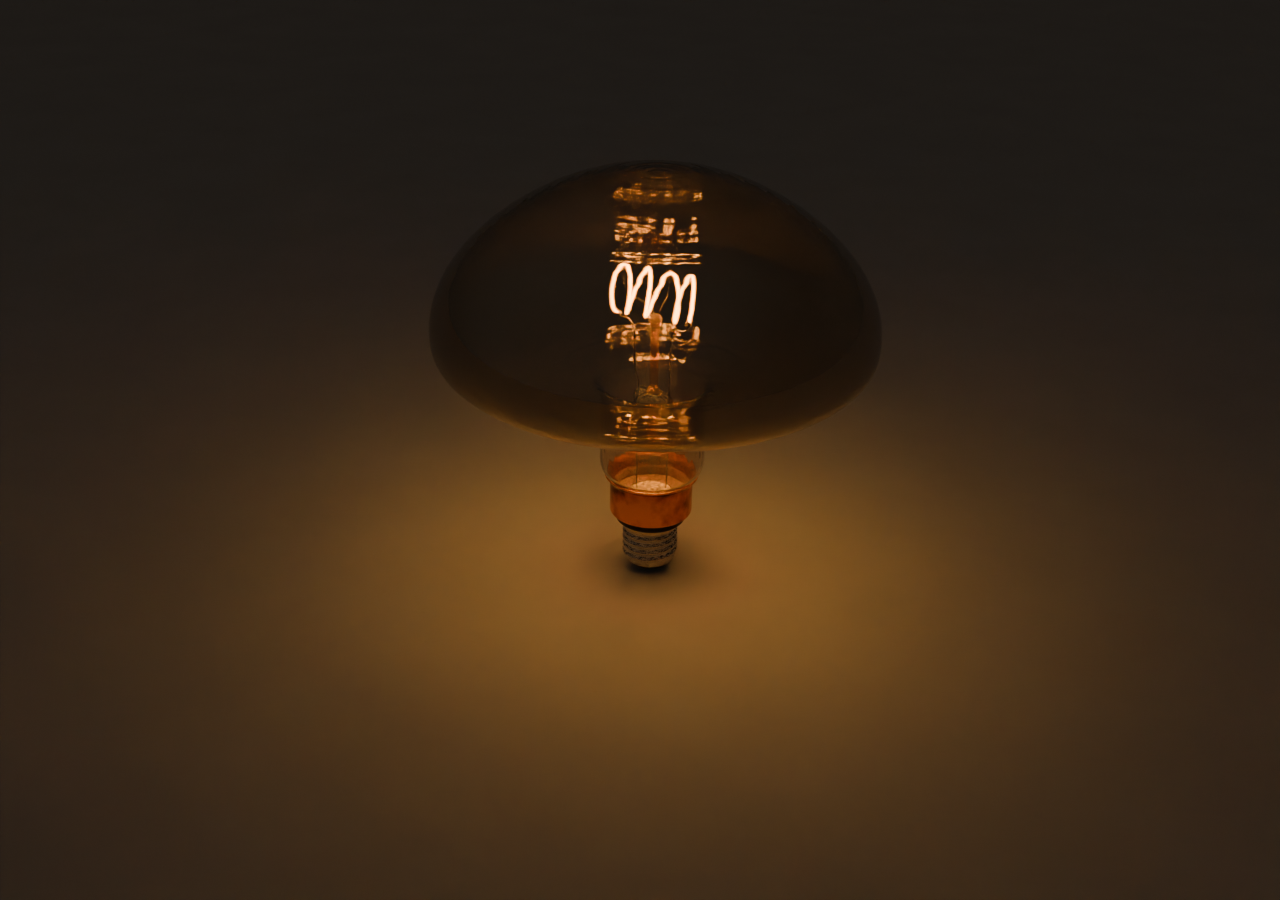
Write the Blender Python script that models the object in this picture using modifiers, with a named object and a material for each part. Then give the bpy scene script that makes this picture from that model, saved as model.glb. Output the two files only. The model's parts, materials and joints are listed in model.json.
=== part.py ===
"""Smart light bulb: a wide mushroom envelope with a coiled LED filament, a copper collar
with a flared lip, and a screw cap that holds the driver and the radio.

The bulb stands on its centre contact: the origin is the contact's flat tip and +Z runs up
the axis.  Lengths below are in millimetres and become metres through MM.
"""
import math

import bpy
import bmesh
from mathutils import Vector

MM = 0.001
GAP = 0.3                       # clearance between neighbouring solids
MERGE = 0.00001                 # metres, where a turned profile meets the axis

# Envelope
ENVELOPE_RADIUS = 100.0
EQUATOR_Z = 124.0
DOME_HEIGHT = 71.5
DOME_HOLLOW = 0.035             # how much flatter than an ellipse the dome's shoulders are
DISH_DEPTH = 25.0
DISH_FULLNESS = 0.10            # how much fuller than an ellipse the underside's edge is
THROAT_FILLET = 6.0
NECK_RADIUS = 24.3
NECK_FOOT_RADIUS = 17.2
NECK_FOOT_Z = 41.2
GLASS_WALL = 1.1

# Collar
COLLAR_RADIUS = 19.3
COLLAR_BOTTOM_Z = 31.0
COLLAR_STRAIGHT_TOP_Z = 46.6
LIP_RADIUS = 22.1
LIP_Z = 50.2
COLLAR_WALL = 0.6
COLLAR_HOLE_RADIUS = 14.0
COLLAR_CORNER = 1.4

# Screw cap, to the E27 sizes
THREAD_CREST_RADIUS = 13.1
THREAD_ROOT_RADIUS = 12.05
THREAD_PITCH = 3.629
THREAD_BOTTOM_Z = 7.4
THREAD_TOP_Z = 22.6
SHELL_BOTTOM_Z = 5.6
SHELL_TOP_Z = 26.5
SHELL_WALL = 0.35
CONTACT_RADIUS = 4.6
CONTACT_FLAT_RADIUS = 3.4
CONTACT_HEIGHT = 1.3
RIVET_TOP_Z = 6.2

# Driver housing, tray and covers
BARREL_RADIUS = 11.2
BARREL_BOTTOM_Z = 9.4
FLANGE_RADIUS = 16.4
HOUSING_WALL = 1.0
TRAY_RADIUS = 18.2
TRAY_FLOOR_Z = 32.0
TRAY_TOP_Z = 39.2
COVER_Z = 39.5
COVER_THICKNESS = 1.0
WIRE_PLATE_RADIUS = 9.4

# Stem and filament
STEM_RADIUS = 9.2
STEM_TOP_Z = 95.5
STEM_FLARE_RADIUS = 15.7
ROD_RADIUS = 2.0
ROD_TOP_Z = 131.0
LEAD_X = 7.0
LEAD_Y = -1.5
LEAD_RADIUS = 0.4
FILAMENT_RADIUS = 1.15
COIL_CENTRE = Vector((-0.8, 2.9, 138.6))
COIL_RADIUS = 10.4
COIL_PITCH = 8.5
COIL_YAW = math.radians(14.8)   # the right end comes forward
COIL_DROP = math.radians(3.8)   # and hangs lower
COIL_START = -0.72              # in half turns; the upper bends lie near 0, 2, 4 and 6
COIL_END = 7.31
COIL_PHASE = -0.156             # how late the bends come, in half turns
BEND_LEANS = (2.9, -2.6, -2.8, 0.2, -2.7, 1.3, 3.0, 2.7, 0.6)
LEAN_START = -1                 # the first lean's half turn; one lean to each from there
LEAD_RISE = {                   # knots above the stem, as far as below the filament
    "left": ((-7.0, -1.5, 99.0), (-8.5, -1.5, 104.5), (-9.1, -1.5, 111.0),
             (-9.1, -1.3, 121.5), (-11.2, 1.8, 126.2)),
    "right": ((7.0, -1.5, 99.0), (7.0, -1.5, 110.0), (7.2, -1.6, 119.5),
              (8.8, -4.0, 124.4), (12.0, -8.6, 125.9)),
}
LEAD_HOOK = {"left": (0.6, -1.4, -1.3), "right": (0.0, -0.5, -1.9)}

# Boards
BOARD_THICKNESS = 1.0
DRIVER_BOARD_WIDTH = 17.2
DRIVER_BOARD_BOTTOM_Z = 10.0
CONTROL_BOARD_RADIUS = 16.8
CONTROL_BOARD_Z = 33.8
CONTROL_BOARD_TOP_Z = CONTROL_BOARD_Z + BOARD_THICKNESS


def collection(name):
    """A new collection linked to the scene."""
    group = bpy.data.collections.new(name)
    bpy.context.scene.collection.children.link(group)
    return group


def material(name, colour, roughness, metallic=0.0, transmission=0.0, glow=0.0):
    """A Principled material."""
    made = bpy.data.materials.new(name)
    made.use_nodes = True
    shader = made.node_tree.nodes["Principled BSDF"]
    shader.inputs["Base Color"].default_value = (*colour, 1.0)
    shader.inputs["Roughness"].default_value = roughness
    shader.inputs["Metallic"].default_value = metallic
    shader.inputs["Transmission Weight"].default_value = transmission
    if glow:
        shader.inputs["Emission Color"].default_value = (*colour, 1.0)
        shader.inputs["Emission Strength"].default_value = glow
    return made


def add(name, mesh, finish, group):
    """An object for a mesh, with its material, in a collection."""
    part = bpy.data.objects.new(name, mesh)
    mesh.materials.clear()
    mesh.materials.append(finish)
    group.objects.link(part)
    return part


def smooth(part, angle=35.0):
    """Smooth shading with the real corners kept sharp."""
    part.data.shade_smooth()
    part.data.set_sharp_from_angle(angle=math.radians(angle))


def baked(part):
    """The part with its modifiers applied, under the same name."""
    name = part.name
    depsgraph = bpy.context.evaluated_depsgraph_get()
    mesh = bpy.data.meshes.new_from_object(part.evaluated_get(depsgraph))
    group = part.users_collection[0]
    finish = part.data.materials[0]
    place = part.matrix_world.copy()
    bpy.data.objects.remove(part)
    made = add(name, mesh, finish, group)
    made.matrix_world = place
    return made


def turned(name, profile, finish, group, segments=32, closed=False, wall=0.0):
    """A shape turned about Z from (radius, height) points that run down the outer side.

    closed joins the profile's ends, for a ring; wall makes a shell of an open profile.
    """
    form = bmesh.new()
    points = [form.verts.new((radius * MM, 0.0, height * MM)) for radius, height in profile]
    pairs = list(zip(points, points[1:]))
    if closed:
        pairs.append((points[-1], points[0]))
    for first, second in pairs:
        form.edges.new((first, second))
    mesh = bpy.data.meshes.new(name)
    form.to_mesh(mesh)
    form.free()
    part = add(name, mesh, finish, group)
    screw = part.modifiers.new("turn", "SCREW")
    screw.steps = segments
    screw.render_steps = segments
    screw.use_smooth_shade = True
    screw.use_merge_vertices = True
    screw.merge_threshold = MERGE
    if wall:
        shell = part.modifiers.new("wall", "SOLIDIFY")
        shell.thickness = wall * MM
        shell.offset = -1.0
        shell.use_even_offset = True
    return part


def box(name, size, centre, finish, group, bevel=0.15, base=False):
    """A box with softened edges; base puts the centre's height at the underside."""
    form = bmesh.new()
    bmesh.ops.create_cube(form, size=1.0)
    bmesh.ops.scale(form, vec=Vector(size) * MM, verts=form.verts)
    mesh = bpy.data.meshes.new(name)
    form.to_mesh(mesh)
    form.free()
    part = add(name, mesh, finish, group)
    lift = size[2] / 2 if base else 0.0
    part.location = (Vector(centre) + Vector((0.0, 0.0, lift))) * MM
    if bevel:
        edge = part.modifiers.new("edge", "BEVEL")
        edge.width = bevel * MM
        edge.segments = 1
    return part


def rod_between(name, start, end, radius, finish, group, sides=12):
    """A plain cylinder from one point to another."""
    run = Vector(end) - Vector(start)
    form = bmesh.new()
    bmesh.ops.create_cone(form, cap_ends=True, segments=sides, radius1=radius * MM,
                          radius2=radius * MM, depth=run.length * MM)
    mesh = bpy.data.meshes.new(name)
    form.to_mesh(mesh)
    form.free()
    part = add(name, mesh, finish, group)
    part.location = (Vector(start) + run / 2) * MM
    part.rotation_mode = "QUATERNION"
    part.rotation_quaternion = Vector((0.0, 0.0, 1.0)).rotation_difference(run)
    smooth(part)
    return part


def wire(name, points, radius, finish, group, bevel_resolution=1):
    """A round wire along a list of points."""
    curve = bpy.data.curves.new(name, "CURVE")
    curve.dimensions = "3D"
    curve.bevel_depth = radius * MM
    curve.bevel_resolution = bevel_resolution
    curve.use_fill_caps = True
    line = curve.splines.new("POLY")
    line.points.add(len(points) - 1)
    for knot, place in zip(line.points, points):
        knot.co = (*(Vector(place) * MM), 1.0)
    part = bpy.data.objects.new(name, curve)
    curve.materials.append(finish)
    group.objects.link(part)
    return part


def cut(part, cutter):
    """Takes the cutter out of the part."""
    cutter.hide_render = True
    cutter.display_type = "WIRE"
    boolean = part.modifiers.new("cut " + cutter.name, "BOOLEAN")
    boolean.operation = "DIFFERENCE"
    boolean.solver = "EXACT"
    boolean.object = cutter


def arc(centre, radius, first, last, steps):
    """Points (radius, height) round a centre, between two angles in degrees."""
    points = []
    for step in range(steps + 1):
        angle = math.radians(first + (last - first) * step / steps)
        points.append((centre[0] + radius * math.cos(angle),
                       centre[1] + radius * math.sin(angle)))
    return points


def smooth_run(knots, steps):
    """Points on a Catmull-Rom curve through the knots, with a number of steps to a span."""
    ends = [knots[0]] + list(knots) + [knots[-1]]
    points = []
    for index in range(len(knots) - 1):
        before, start, end, after = (Vector(knot) for knot in ends[index:index + 4])
        for step in range(steps):
            t = step / steps
            points.append(0.5 * (2 * start + (end - before) * t
                                 + (2 * before - 5 * start + 4 * end - after) * t ** 2
                                 + (3 * start - before - 3 * end + after) * t ** 3))
    points.append(Vector(knots[-1]))
    return points


# ---------------------------------------------------------------- glass

def envelope_profile():
    """The envelope's outside, from the crown down to the neck's foot."""
    points = []
    dome_steps = 9
    for step in range(dome_steps + 1):
        angle = math.pi / 2 * (1 - step / dome_steps)
        scale = 1 - DOME_HOLLOW * math.sin(2 * angle) ** 2
        points.append((ENVELOPE_RADIUS * math.cos(angle) * scale,
                       EQUATOR_Z + DOME_HEIGHT * math.sin(angle) * scale))
    points[0] = (0.0, points[0][1])
    dish_steps = 7
    fillet_centre = (NECK_RADIUS + THROAT_FILLET, EQUATOR_Z - DISH_DEPTH - THROAT_FILLET)
    last_angle = math.acos((fillet_centre[0] + 6.0) / ENVELOPE_RADIUS)
    for step in range(1, dish_steps + 1):
        angle = last_angle * step / dish_steps
        scale = 1 + DISH_FULLNESS * math.sin(2 * angle) ** 2
        points.append((ENVELOPE_RADIUS * math.cos(angle) * scale,
                       max(EQUATOR_Z - DISH_DEPTH * math.sin(angle) * scale,
                           EQUATOR_Z - DISH_DEPTH)))
    points += arc(fillet_centre, THROAT_FILLET, 90.0, 180.0, 4)
    points += [(NECK_RADIUS, LIP_Z + 8.0), (NECK_RADIUS - 0.3, LIP_Z + 5.0),
               (NECK_RADIUS - 1.1, LIP_Z + 2.6), (NECK_RADIUS - 2.4, LIP_Z + 1.0),
               (NECK_RADIUS - 3.9, LIP_Z), (NECK_FOOT_RADIUS + 1.0, LIP_Z - 2.4),
               (NECK_FOOT_RADIUS, LIP_Z - 4.6), (NECK_FOOT_RADIUS, NECK_FOOT_Z)]
    return points


def make_glass(group, cutters, glass):
    turned("glass_envelope", envelope_profile(), glass["envelope"], group, 32,
           wall=GLASS_WALL)

    shoulder_z = STEM_TOP_Z - 4.0
    stem = [(0.0, STEM_TOP_Z), (3.6, STEM_TOP_Z - 0.3), (6.6, STEM_TOP_Z - 1.3),
            (8.6, STEM_TOP_Z - 2.6), (STEM_RADIUS, shoulder_z - 1.0), (STEM_RADIUS, 70.0),
            (STEM_RADIUS, 54.0), (9.8, 49.5), (11.4, 46.2), (13.6, 43.6),
            (STEM_FLARE_RADIUS, NECK_FOOT_Z + 0.4)]
    stem_part = turned("glass_stem", stem, glass["stem"], group, 20, wall=1.0)
    for side in (-1, 1):
        cutter = rod_between("lead_seal_cutter_" + ("left" if side < 0 else "right"),
                             (side * LEAD_X, LEAD_Y, STEM_TOP_Z - 8.0),
                             (side * LEAD_X, LEAD_Y, STEM_TOP_Z + 4.0),
                             LEAD_RADIUS + GAP, glass["stem"], cutters)
        cut(stem_part, cutter)

    turned("exhaust_tube", [(1.9, STEM_TOP_Z - 3.2), (1.9, 46.0), (1.3, 44.0), (0.0, 42.6)],
           glass["stem"], group, 12, wall=0.6)

    foot_z = STEM_TOP_Z + GAP
    bead_z = ROD_TOP_Z - 3.0
    turned("support_rod",
           [(0.0, ROD_TOP_Z), (1.9, ROD_TOP_Z - 0.7), (2.9, bead_z + 0.8), (3.1, bead_z - 0.4),
            (2.5, bead_z - 2.2), (ROD_RADIUS, bead_z - 4.0), (ROD_RADIUS, foot_z + 4.0),
            (2.5, foot_z + 1.4), (3.4, foot_z), (0.0, foot_z)],
           glass["stem"], group, 16)


# ---------------------------------------------------------------- filament

def coil_axes():
    """The coil's own axis, its sideways and its upward direction."""
    along = Vector((math.cos(COIL_YAW) * math.cos(COIL_DROP),
                    -math.sin(COIL_YAW) * math.cos(COIL_DROP), -math.sin(COIL_DROP)))
    side = Vector((math.sin(COIL_YAW), math.cos(COIL_YAW), 0.0))
    return along, side, along.cross(side)


def coil_point(turn):
    """A point on the coil's centre line; turn counts half turns from the first top."""
    along, side, up = coil_axes()
    angle = (turn + COIL_PHASE) * math.pi
    middle = (COIL_START + COIL_END) / 2
    sway = 0.0
    for index, lean in enumerate(BEND_LEANS):
        distance = abs(turn - (index + LEAN_START))
        if distance < 1.0:
            sway += lean * (1 + math.cos(distance * math.pi)) / 2
    return (COIL_CENTRE + along * (COIL_PITCH * (turn - middle) / 2 + sway)
            + up * (COIL_RADIUS * math.cos(angle)) + side * (COIL_RADIUS * math.sin(angle)))


def make_filament(group, finish):
    steps = 66
    points = [coil_point(COIL_START + (COIL_END - COIL_START) * step / steps)
              for step in range(steps + 1)]
    wire("led_filament", points, FILAMENT_RADIUS, finish["filament"], group, 2)

    tips = {}
    for side, end, inner in (("left", points[0], points[1]), ("right", points[-1], points[-2])):
        outward = (end - inner).normalized()
        start = end + outward * GAP
        tips[side] = start + outward * (3.0 + GAP + LEAD_RADIUS)
        rod_between("filament_terminal_" + side, start, start + outward * 3.0,
                    FILAMENT_RADIUS + 0.1, finish["nickel"], group, 12)

    base_z = CONTROL_BOARD_TOP_Z + 3.1
    for side, name in ((-1, "left"), (1, "right")):
        tip = tips[name]
        knots = list(LEAD_RISE[name]) + [tip + Vector(LEAD_HOOK[name]), tip]
        wire("lead_wire_" + name,
             [Vector((side * LEAD_X, LEAD_Y, base_z)), Vector((side * LEAD_X, LEAD_Y, 60.0))]
             + smooth_run(knots, 4), LEAD_RADIUS, finish["nickel"], group)

    for index in range(3):
        top = coil_point(2.0 * index + 0.25)
        hang = top - Vector((0.0, 0.0, FILAMENT_RADIUS + GAP + 0.25))
        out = Vector((top.x, top.y, 0.0)).normalized()
        start = Vector((0.0, 0.0, ROD_TOP_Z + GAP + 0.15)) + out * 1.6
        knots = [start, start + out * 1.6 + Vector((0.0, 0.0, 1.4)),
                 Vector((hang.x * 0.9, hang.y * 0.9, start.z + 8.0)), hang]
        wire("support_wire_%d" % (index + 1), smooth_run(knots, 3), 0.15,
             finish["nickel"], group)


# ---------------------------------------------------------------- collar and cap

def make_collar(group, finish):
    flare_height = LIP_Z - COLLAR_STRAIGHT_TOP_Z
    flare_width = LIP_RADIUS - COLLAR_RADIUS
    flare = [(COLLAR_RADIUS + flare_width * (step / 4) ** 2,
              COLLAR_STRAIGHT_TOP_Z + flare_height * step / 4) for step in range(4, -1, -1)]
    corner = arc((COLLAR_RADIUS - COLLAR_CORNER, COLLAR_BOTTOM_Z + COLLAR_CORNER),
                 COLLAR_CORNER, 0.0, -90.0, 3)
    turned("collar", flare + corner + [(COLLAR_HOLE_RADIUS, COLLAR_BOTTOM_Z)],
           finish["copper"], group, 32, wall=COLLAR_WALL)

    inner = COLLAR_RADIUS - COLLAR_WALL - GAP
    turned("bonding_ring",
           [(inner, 46.0), (inner, 41.4), (NECK_FOOT_RADIUS + GAP, 41.4),
            (NECK_FOOT_RADIUS + GAP, 44.8), (NECK_FOOT_RADIUS + 0.6, 45.4)],
           finish["cement"], group, 24, closed=True)


def thread_offset(angle, height):
    """How far the pressed thread stands outside the root at an angle and a height."""
    fade = min(1.0, max(0.0, (height - THREAD_BOTTOM_Z) / 1.2),
               max(0.0, (THREAD_TOP_Z - height) / 1.2))
    wave = math.cos(2 * math.pi * height / THREAD_PITCH - angle)
    return fade * (THREAD_CREST_RADIUS - THREAD_ROOT_RADIUS) * (wave + 1) / 2


def make_screw_shell(group, finish):
    rows = 24
    span = THREAD_TOP_Z - THREAD_BOTTOM_Z
    profile = [(THREAD_CREST_RADIUS, SHELL_TOP_Z), (THREAD_CREST_RADIUS, THREAD_TOP_Z + 0.9)]
    profile += [(THREAD_ROOT_RADIUS, THREAD_TOP_Z - span * row / rows) for row in range(rows + 1)]
    profile += [(THREAD_ROOT_RADIUS - 0.1, THREAD_BOTTOM_Z - 0.8), (11.7, SHELL_BOTTOM_Z)]
    shell = baked(turned("screw_shell", profile, finish["shell"], group, 24))
    for vertex in shell.data.vertices:
        radius = math.hypot(vertex.co.x, vertex.co.y) / MM
        if abs(radius - THREAD_ROOT_RADIUS) > 0.01:
            continue
        angle = math.atan2(vertex.co.y, vertex.co.x)
        scale = (radius + thread_offset(angle, vertex.co.z / MM)) / radius
        vertex.co.x *= scale
        vertex.co.y *= scale
    wall = shell.modifiers.new("wall", "SOLIDIFY")
    wall.thickness = SHELL_WALL * MM
    wall.offset = -1.0
    smooth(shell, 50.0)


def make_cap(group, finish):
    make_screw_shell(group, finish)
    turned("cap_insulator",
           [(11.0, 7.3), (11.0, 5.0), (9.6, 3.4), (6.6, 2.2), (5.8, CONTACT_HEIGHT + GAP),
            (1.4, CONTACT_HEIGHT + GAP), (1.4, 5.2), (8.4, 6.0), (9.4, 7.3)],
           finish["insulator"], group, 24, closed=True)
    turned("centre_contact",
           [(0.0, RIVET_TOP_Z), (1.1, RIVET_TOP_Z), (1.1, CONTACT_HEIGHT),
            (CONTACT_RADIUS, CONTACT_HEIGHT), (CONTACT_RADIUS, 0.7),
            (CONTACT_FLAT_RADIUS, 0.0), (0.0, 0.0)],
           finish["contact"], group, 20)


def make_housing(group, cutters, finish):
    barrel_in = BARREL_RADIUS - HOUSING_WALL
    spigot = COLLAR_HOLE_RADIUS - GAP
    flange_top = COLLAR_BOTTOM_Z - GAP
    flange_bottom = SHELL_TOP_Z + GAP
    turned("driver_housing",
           [(spigot, 33.5), (spigot, flange_top), (FLANGE_RADIUS, flange_top),
            (FLANGE_RADIUS, flange_bottom + 0.8), (FLANGE_RADIUS - 0.8, flange_bottom),
            (BARREL_RADIUS, flange_bottom), (BARREL_RADIUS, BARREL_BOTTOM_Z),
            (barrel_in, BARREL_BOTTOM_Z),
            (barrel_in, flange_bottom + 1.0), (spigot - HOUSING_WALL, flange_bottom + 2.4),
            (spigot - HOUSING_WALL, 33.5)],
           finish["housing"], group, 28, closed=True)

    turned("electronics_tray",
           [(TRAY_RADIUS, TRAY_TOP_Z), (TRAY_RADIUS, TRAY_FLOOR_Z + 0.8),
            (TRAY_RADIUS - 0.8, TRAY_FLOOR_Z), (COLLAR_HOLE_RADIUS + 0.2, TRAY_FLOOR_Z),
            (COLLAR_HOLE_RADIUS + 0.2, TRAY_FLOOR_Z + 1.0),
            (TRAY_RADIUS - HOUSING_WALL, TRAY_FLOOR_Z + 1.0),
            (TRAY_RADIUS - HOUSING_WALL, TRAY_TOP_Z)],
           finish["housing"], group, 28, closed=True)

    cover_top = COVER_Z + COVER_THICKNESS
    turned("tray_cover",
           [(TRAY_RADIUS, cover_top), (TRAY_RADIUS, COVER_Z),
            (WIRE_PLATE_RADIUS + GAP, COVER_Z), (WIRE_PLATE_RADIUS + GAP, cover_top)],
           finish["cover"], group, 28, closed=True)

    plate = turned("wire_plate",
                   [(0.0, cover_top + 0.4), (WIRE_PLATE_RADIUS - 0.5, cover_top + 0.4),
                    (WIRE_PLATE_RADIUS, cover_top), (WIRE_PLATE_RADIUS, COVER_Z),
                    (0.0, COVER_Z)],
                   finish["plate"], group, 20)
    holes = [(-LEAD_X, LEAD_Y, LEAD_RADIUS + GAP), (LEAD_X, LEAD_Y, LEAD_RADIUS + GAP),
             (0.4, -3.6, 0.8), (3.0, -3.6, 0.8), (3.0, -6.8, 0.8)]
    for index, (x, y, radius) in enumerate(holes):
        cutter = rod_between("plate_hole_cutter_%d" % (index + 1), (x, y, COVER_Z - 2.0),
                             (x, y, cover_top + 3.0), radius, finish["plate"], cutters, 10)
        cut(plate, cutter)


# ---------------------------------------------------------------- electronics

def make_driver_board(group, finish):
    face = BOARD_THICKNESS / 2 + GAP
    box("driver_board",
        (DRIVER_BOARD_WIDTH, BOARD_THICKNESS, 33.5 - DRIVER_BOARD_BOTTOM_Z),
        (0.0, 0.0, DRIVER_BOARD_BOTTOM_Z), finish["board"], group, 0.0, base=True)

    can_radius = 4.0
    capacitor = turned("bulk_capacitor",
                       [(0.0, 12.0), (can_radius - 0.5, 12.0), (can_radius, 11.5),
                        (can_radius, 2.2), (can_radius - 0.4, 1.7), (can_radius, 1.2),
                        (can_radius, 0.3), (can_radius - 0.3, 0.0), (0.0, 0.0)],
                       finish["capacitor"], group, 20)
    capacitor.location = Vector((0.0, -face - can_radius, 12.5)) * MM

    rod_between("fuse_resistor", (-3.6, -face - 1.4, 27.6), (3.6, -face - 1.4, 27.6), 1.4,
                finish["resistor"], group, 14)
    box("bridge_rectifier", (4.8, 1.7, 4.2), (0.0, face + 0.85, 20.4), finish["chip"], group,
        0.25, base=True)

    core_radius = 3.6
    core = turned("inductor_core",
                  [(0.0, 8.0), (core_radius, 8.0), (core_radius, 6.8), (1.6, 6.8), (1.6, 1.2),
                   (core_radius, 1.2), (core_radius, 0.0), (0.0, 0.0)],
                  finish["ferrite"], group, 20)
    winding = turned("inductor_winding", [(3.3, 6.4), (3.3, 1.6), (1.9, 1.6), (1.9, 6.4)],
                     finish["enamel"], group, 20, closed=True)
    for piece in (core, winding):
        piece.location = Vector((0.0, face + core_radius, 11.4)) * MM
    box("film_capacitor", (7.2, 3.6, 6.6), (0.0, face + 1.8, 25.6), finish["film"], group,
        0.4, base=True)
    box("board_connector", (9.0, 2.2, 2.2), (0.0, -face - 1.1, 31.0), finish["chip"], group,
        0.2, base=True)

    wire("live_wire",
         smooth_run([(0.0, 0.0, RIVET_TOP_Z + GAP + 0.3), (-0.8, -0.6, 7.8), (-3.2, -1.6, 9.2),
                     (-4.0, -face - 0.6, 11.2), (-6.0, -face - 0.6, 13.4)], 3),
         0.45, finish["red_wire"], group)
    wire("neutral_wire",
         smooth_run([(11.0, 0.0, 8.3), (9.2, 1.0, 8.3), (7.0, face + 0.8, 9.8),
                     (6.2, face + 0.6, 12.4)], 3),
         0.45, finish["black_wire"], group)


def make_control_board(group, finish):
    top = CONTROL_BOARD_TOP_Z + GAP
    turned("control_board",
           [(0.0, CONTROL_BOARD_TOP_Z), (CONTROL_BOARD_RADIUS, CONTROL_BOARD_TOP_Z),
            (CONTROL_BOARD_RADIUS, CONTROL_BOARD_Z), (0.0, CONTROL_BOARD_Z)],
           finish["board"], group, 32)

    module_top = top + 0.8
    box("radio_module", (14.0, 12.0, 0.8), (0.0, 7.6, top), finish["module"], group, 0.0,
        base=True)
    box("shield_can", (9.0, 7.0, 1.8), (-1.0, 5.6, module_top + GAP), finish["can"], group,
        0.3, base=True)
    box("clock_crystal", (2.5, 3.2, 0.8), (5.4, 4.4, module_top + GAP), finish["can"], group,
        0.15, base=True)
    make_antenna(group, finish["antenna"], module_top + GAP)

    box("driver_chip", (5.0, 4.0, 1.5), (0.0, -5.4, top), finish["chip"], group, 0.2, base=True)
    box("power_switch", (5.2, 4.6, 1.6), (-8.6, -7.4, top), finish["chip"], group, 0.25,
        base=True)
    box("freewheel_diode", (4.3, 2.6, 2.1), (8.4, -6.6, top), finish["chip"], group, 0.25,
        base=True)
    box("sense_resistor", (3.2, 1.6, 0.6), (0.0, -10.4, top), finish["resistor_chip"], group,
        0.1, base=True)
    for side, name in ((-1, "left"), (1, "right")):
        box("output_terminal_" + name, (2.2, 2.2, 2.4), (side * LEAD_X, LEAD_Y, top),
            finish["brass"], group, 0.25, base=True)


def make_antenna(group, finish, base_z):
    """The folded copper track at the outer edge of the radio module."""
    folds = 9
    pitch = 1.1
    reach = 2.2
    track_radius = 0.2
    near_y = 10.8
    points = []
    for fold in range(folds + 1):
        x = (fold - folds / 2) * pitch
        ends = (near_y, near_y + reach)
        for y in ends if fold % 2 == 0 else reversed(ends):
            points.append((x, y, base_z + track_radius))
    wire("module_antenna", points, track_radius, finish, group)


def main():
    for old in list(bpy.data.objects):
        bpy.data.objects.remove(old)
    bulb = collection("smart_light_bulb")
    cutters = collection("cutters")

    glass = {
        "envelope": material("smoked glass", (0.42, 0.38, 0.33), 0.02, 0.0, 0.9),
        "stem": material("clear glass", (0.95, 0.95, 0.93), 0.03, 0.0, 0.95),
    }
    finish = {
        "filament": material("lit filament", (1.0, 0.62, 0.25), 0.5, glow=4.0),
        "nickel": material("nickel wire", (0.66, 0.63, 0.58), 0.3, 1.0),
        "copper": material("polished copper", (0.86, 0.47, 0.28), 0.16, 1.0),
        "cement": material("bonding cement", (0.66, 0.58, 0.46), 0.9),
        "shell": material("nickel-plated brass", (0.80, 0.76, 0.68), 0.25, 1.0),
        "insulator": material("black cap insulator", (0.03, 0.03, 0.035), 0.25),
        "contact": material("tinned contact", (0.78, 0.77, 0.74), 0.35, 1.0),
        "housing": material("dark housing plastic", (0.05, 0.045, 0.04), 0.5),
        "cover": material("bronze cover", (0.42, 0.26, 0.16), 0.5),
        "plate": material("cream wire plate", (0.86, 0.80, 0.66), 0.6),
        "board": material("green board", (0.05, 0.22, 0.12), 0.45),
        "module": material("blue module board", (0.04, 0.08, 0.22), 0.45),
        "chip": material("black moulding", (0.03, 0.03, 0.03), 0.5),
        "can": material("tinned can", (0.75, 0.75, 0.74), 0.3, 1.0),
        "antenna": material("bare copper track", (0.85, 0.50, 0.30), 0.35, 1.0),
        "capacitor": material("capacitor sleeve", (0.06, 0.07, 0.10), 0.4),
        "film": material("film capacitor case", (0.75, 0.20, 0.10), 0.4),
        "resistor": material("resistor body", (0.25, 0.45, 0.40), 0.5),
        "resistor_chip": material("chip resistor", (0.08, 0.08, 0.09), 0.5),
        "ferrite": material("ferrite", (0.10, 0.10, 0.10), 0.7),
        "enamel": material("enamelled copper wire", (0.70, 0.28, 0.10), 0.3, 0.6),
        "brass": material("brass terminal", (0.80, 0.62, 0.30), 0.3, 1.0),
        "red_wire": material("red wire", (0.60, 0.05, 0.04), 0.5),
        "black_wire": material("black wire", (0.03, 0.03, 0.03), 0.5),
    }
    make_glass(bulb, cutters, glass)
    make_filament(bulb, finish)
    make_collar(bulb, finish)
    make_cap(bulb, finish)
    make_housing(bulb, cutters, finish)
    make_driver_board(bulb, finish)
    make_control_board(bulb, finish)


main()
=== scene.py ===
"""Looks for the smart light bulb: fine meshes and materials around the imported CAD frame.

The bulb stands on its centre contact at the origin, +Z up, with -Y to the front.  Lengths
are in millimetres and become metres through MM; the frame's own places are in metres.
"""

import json
import math

import bpy
import bmesh
from mathutils import Matrix, Vector, noise


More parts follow.
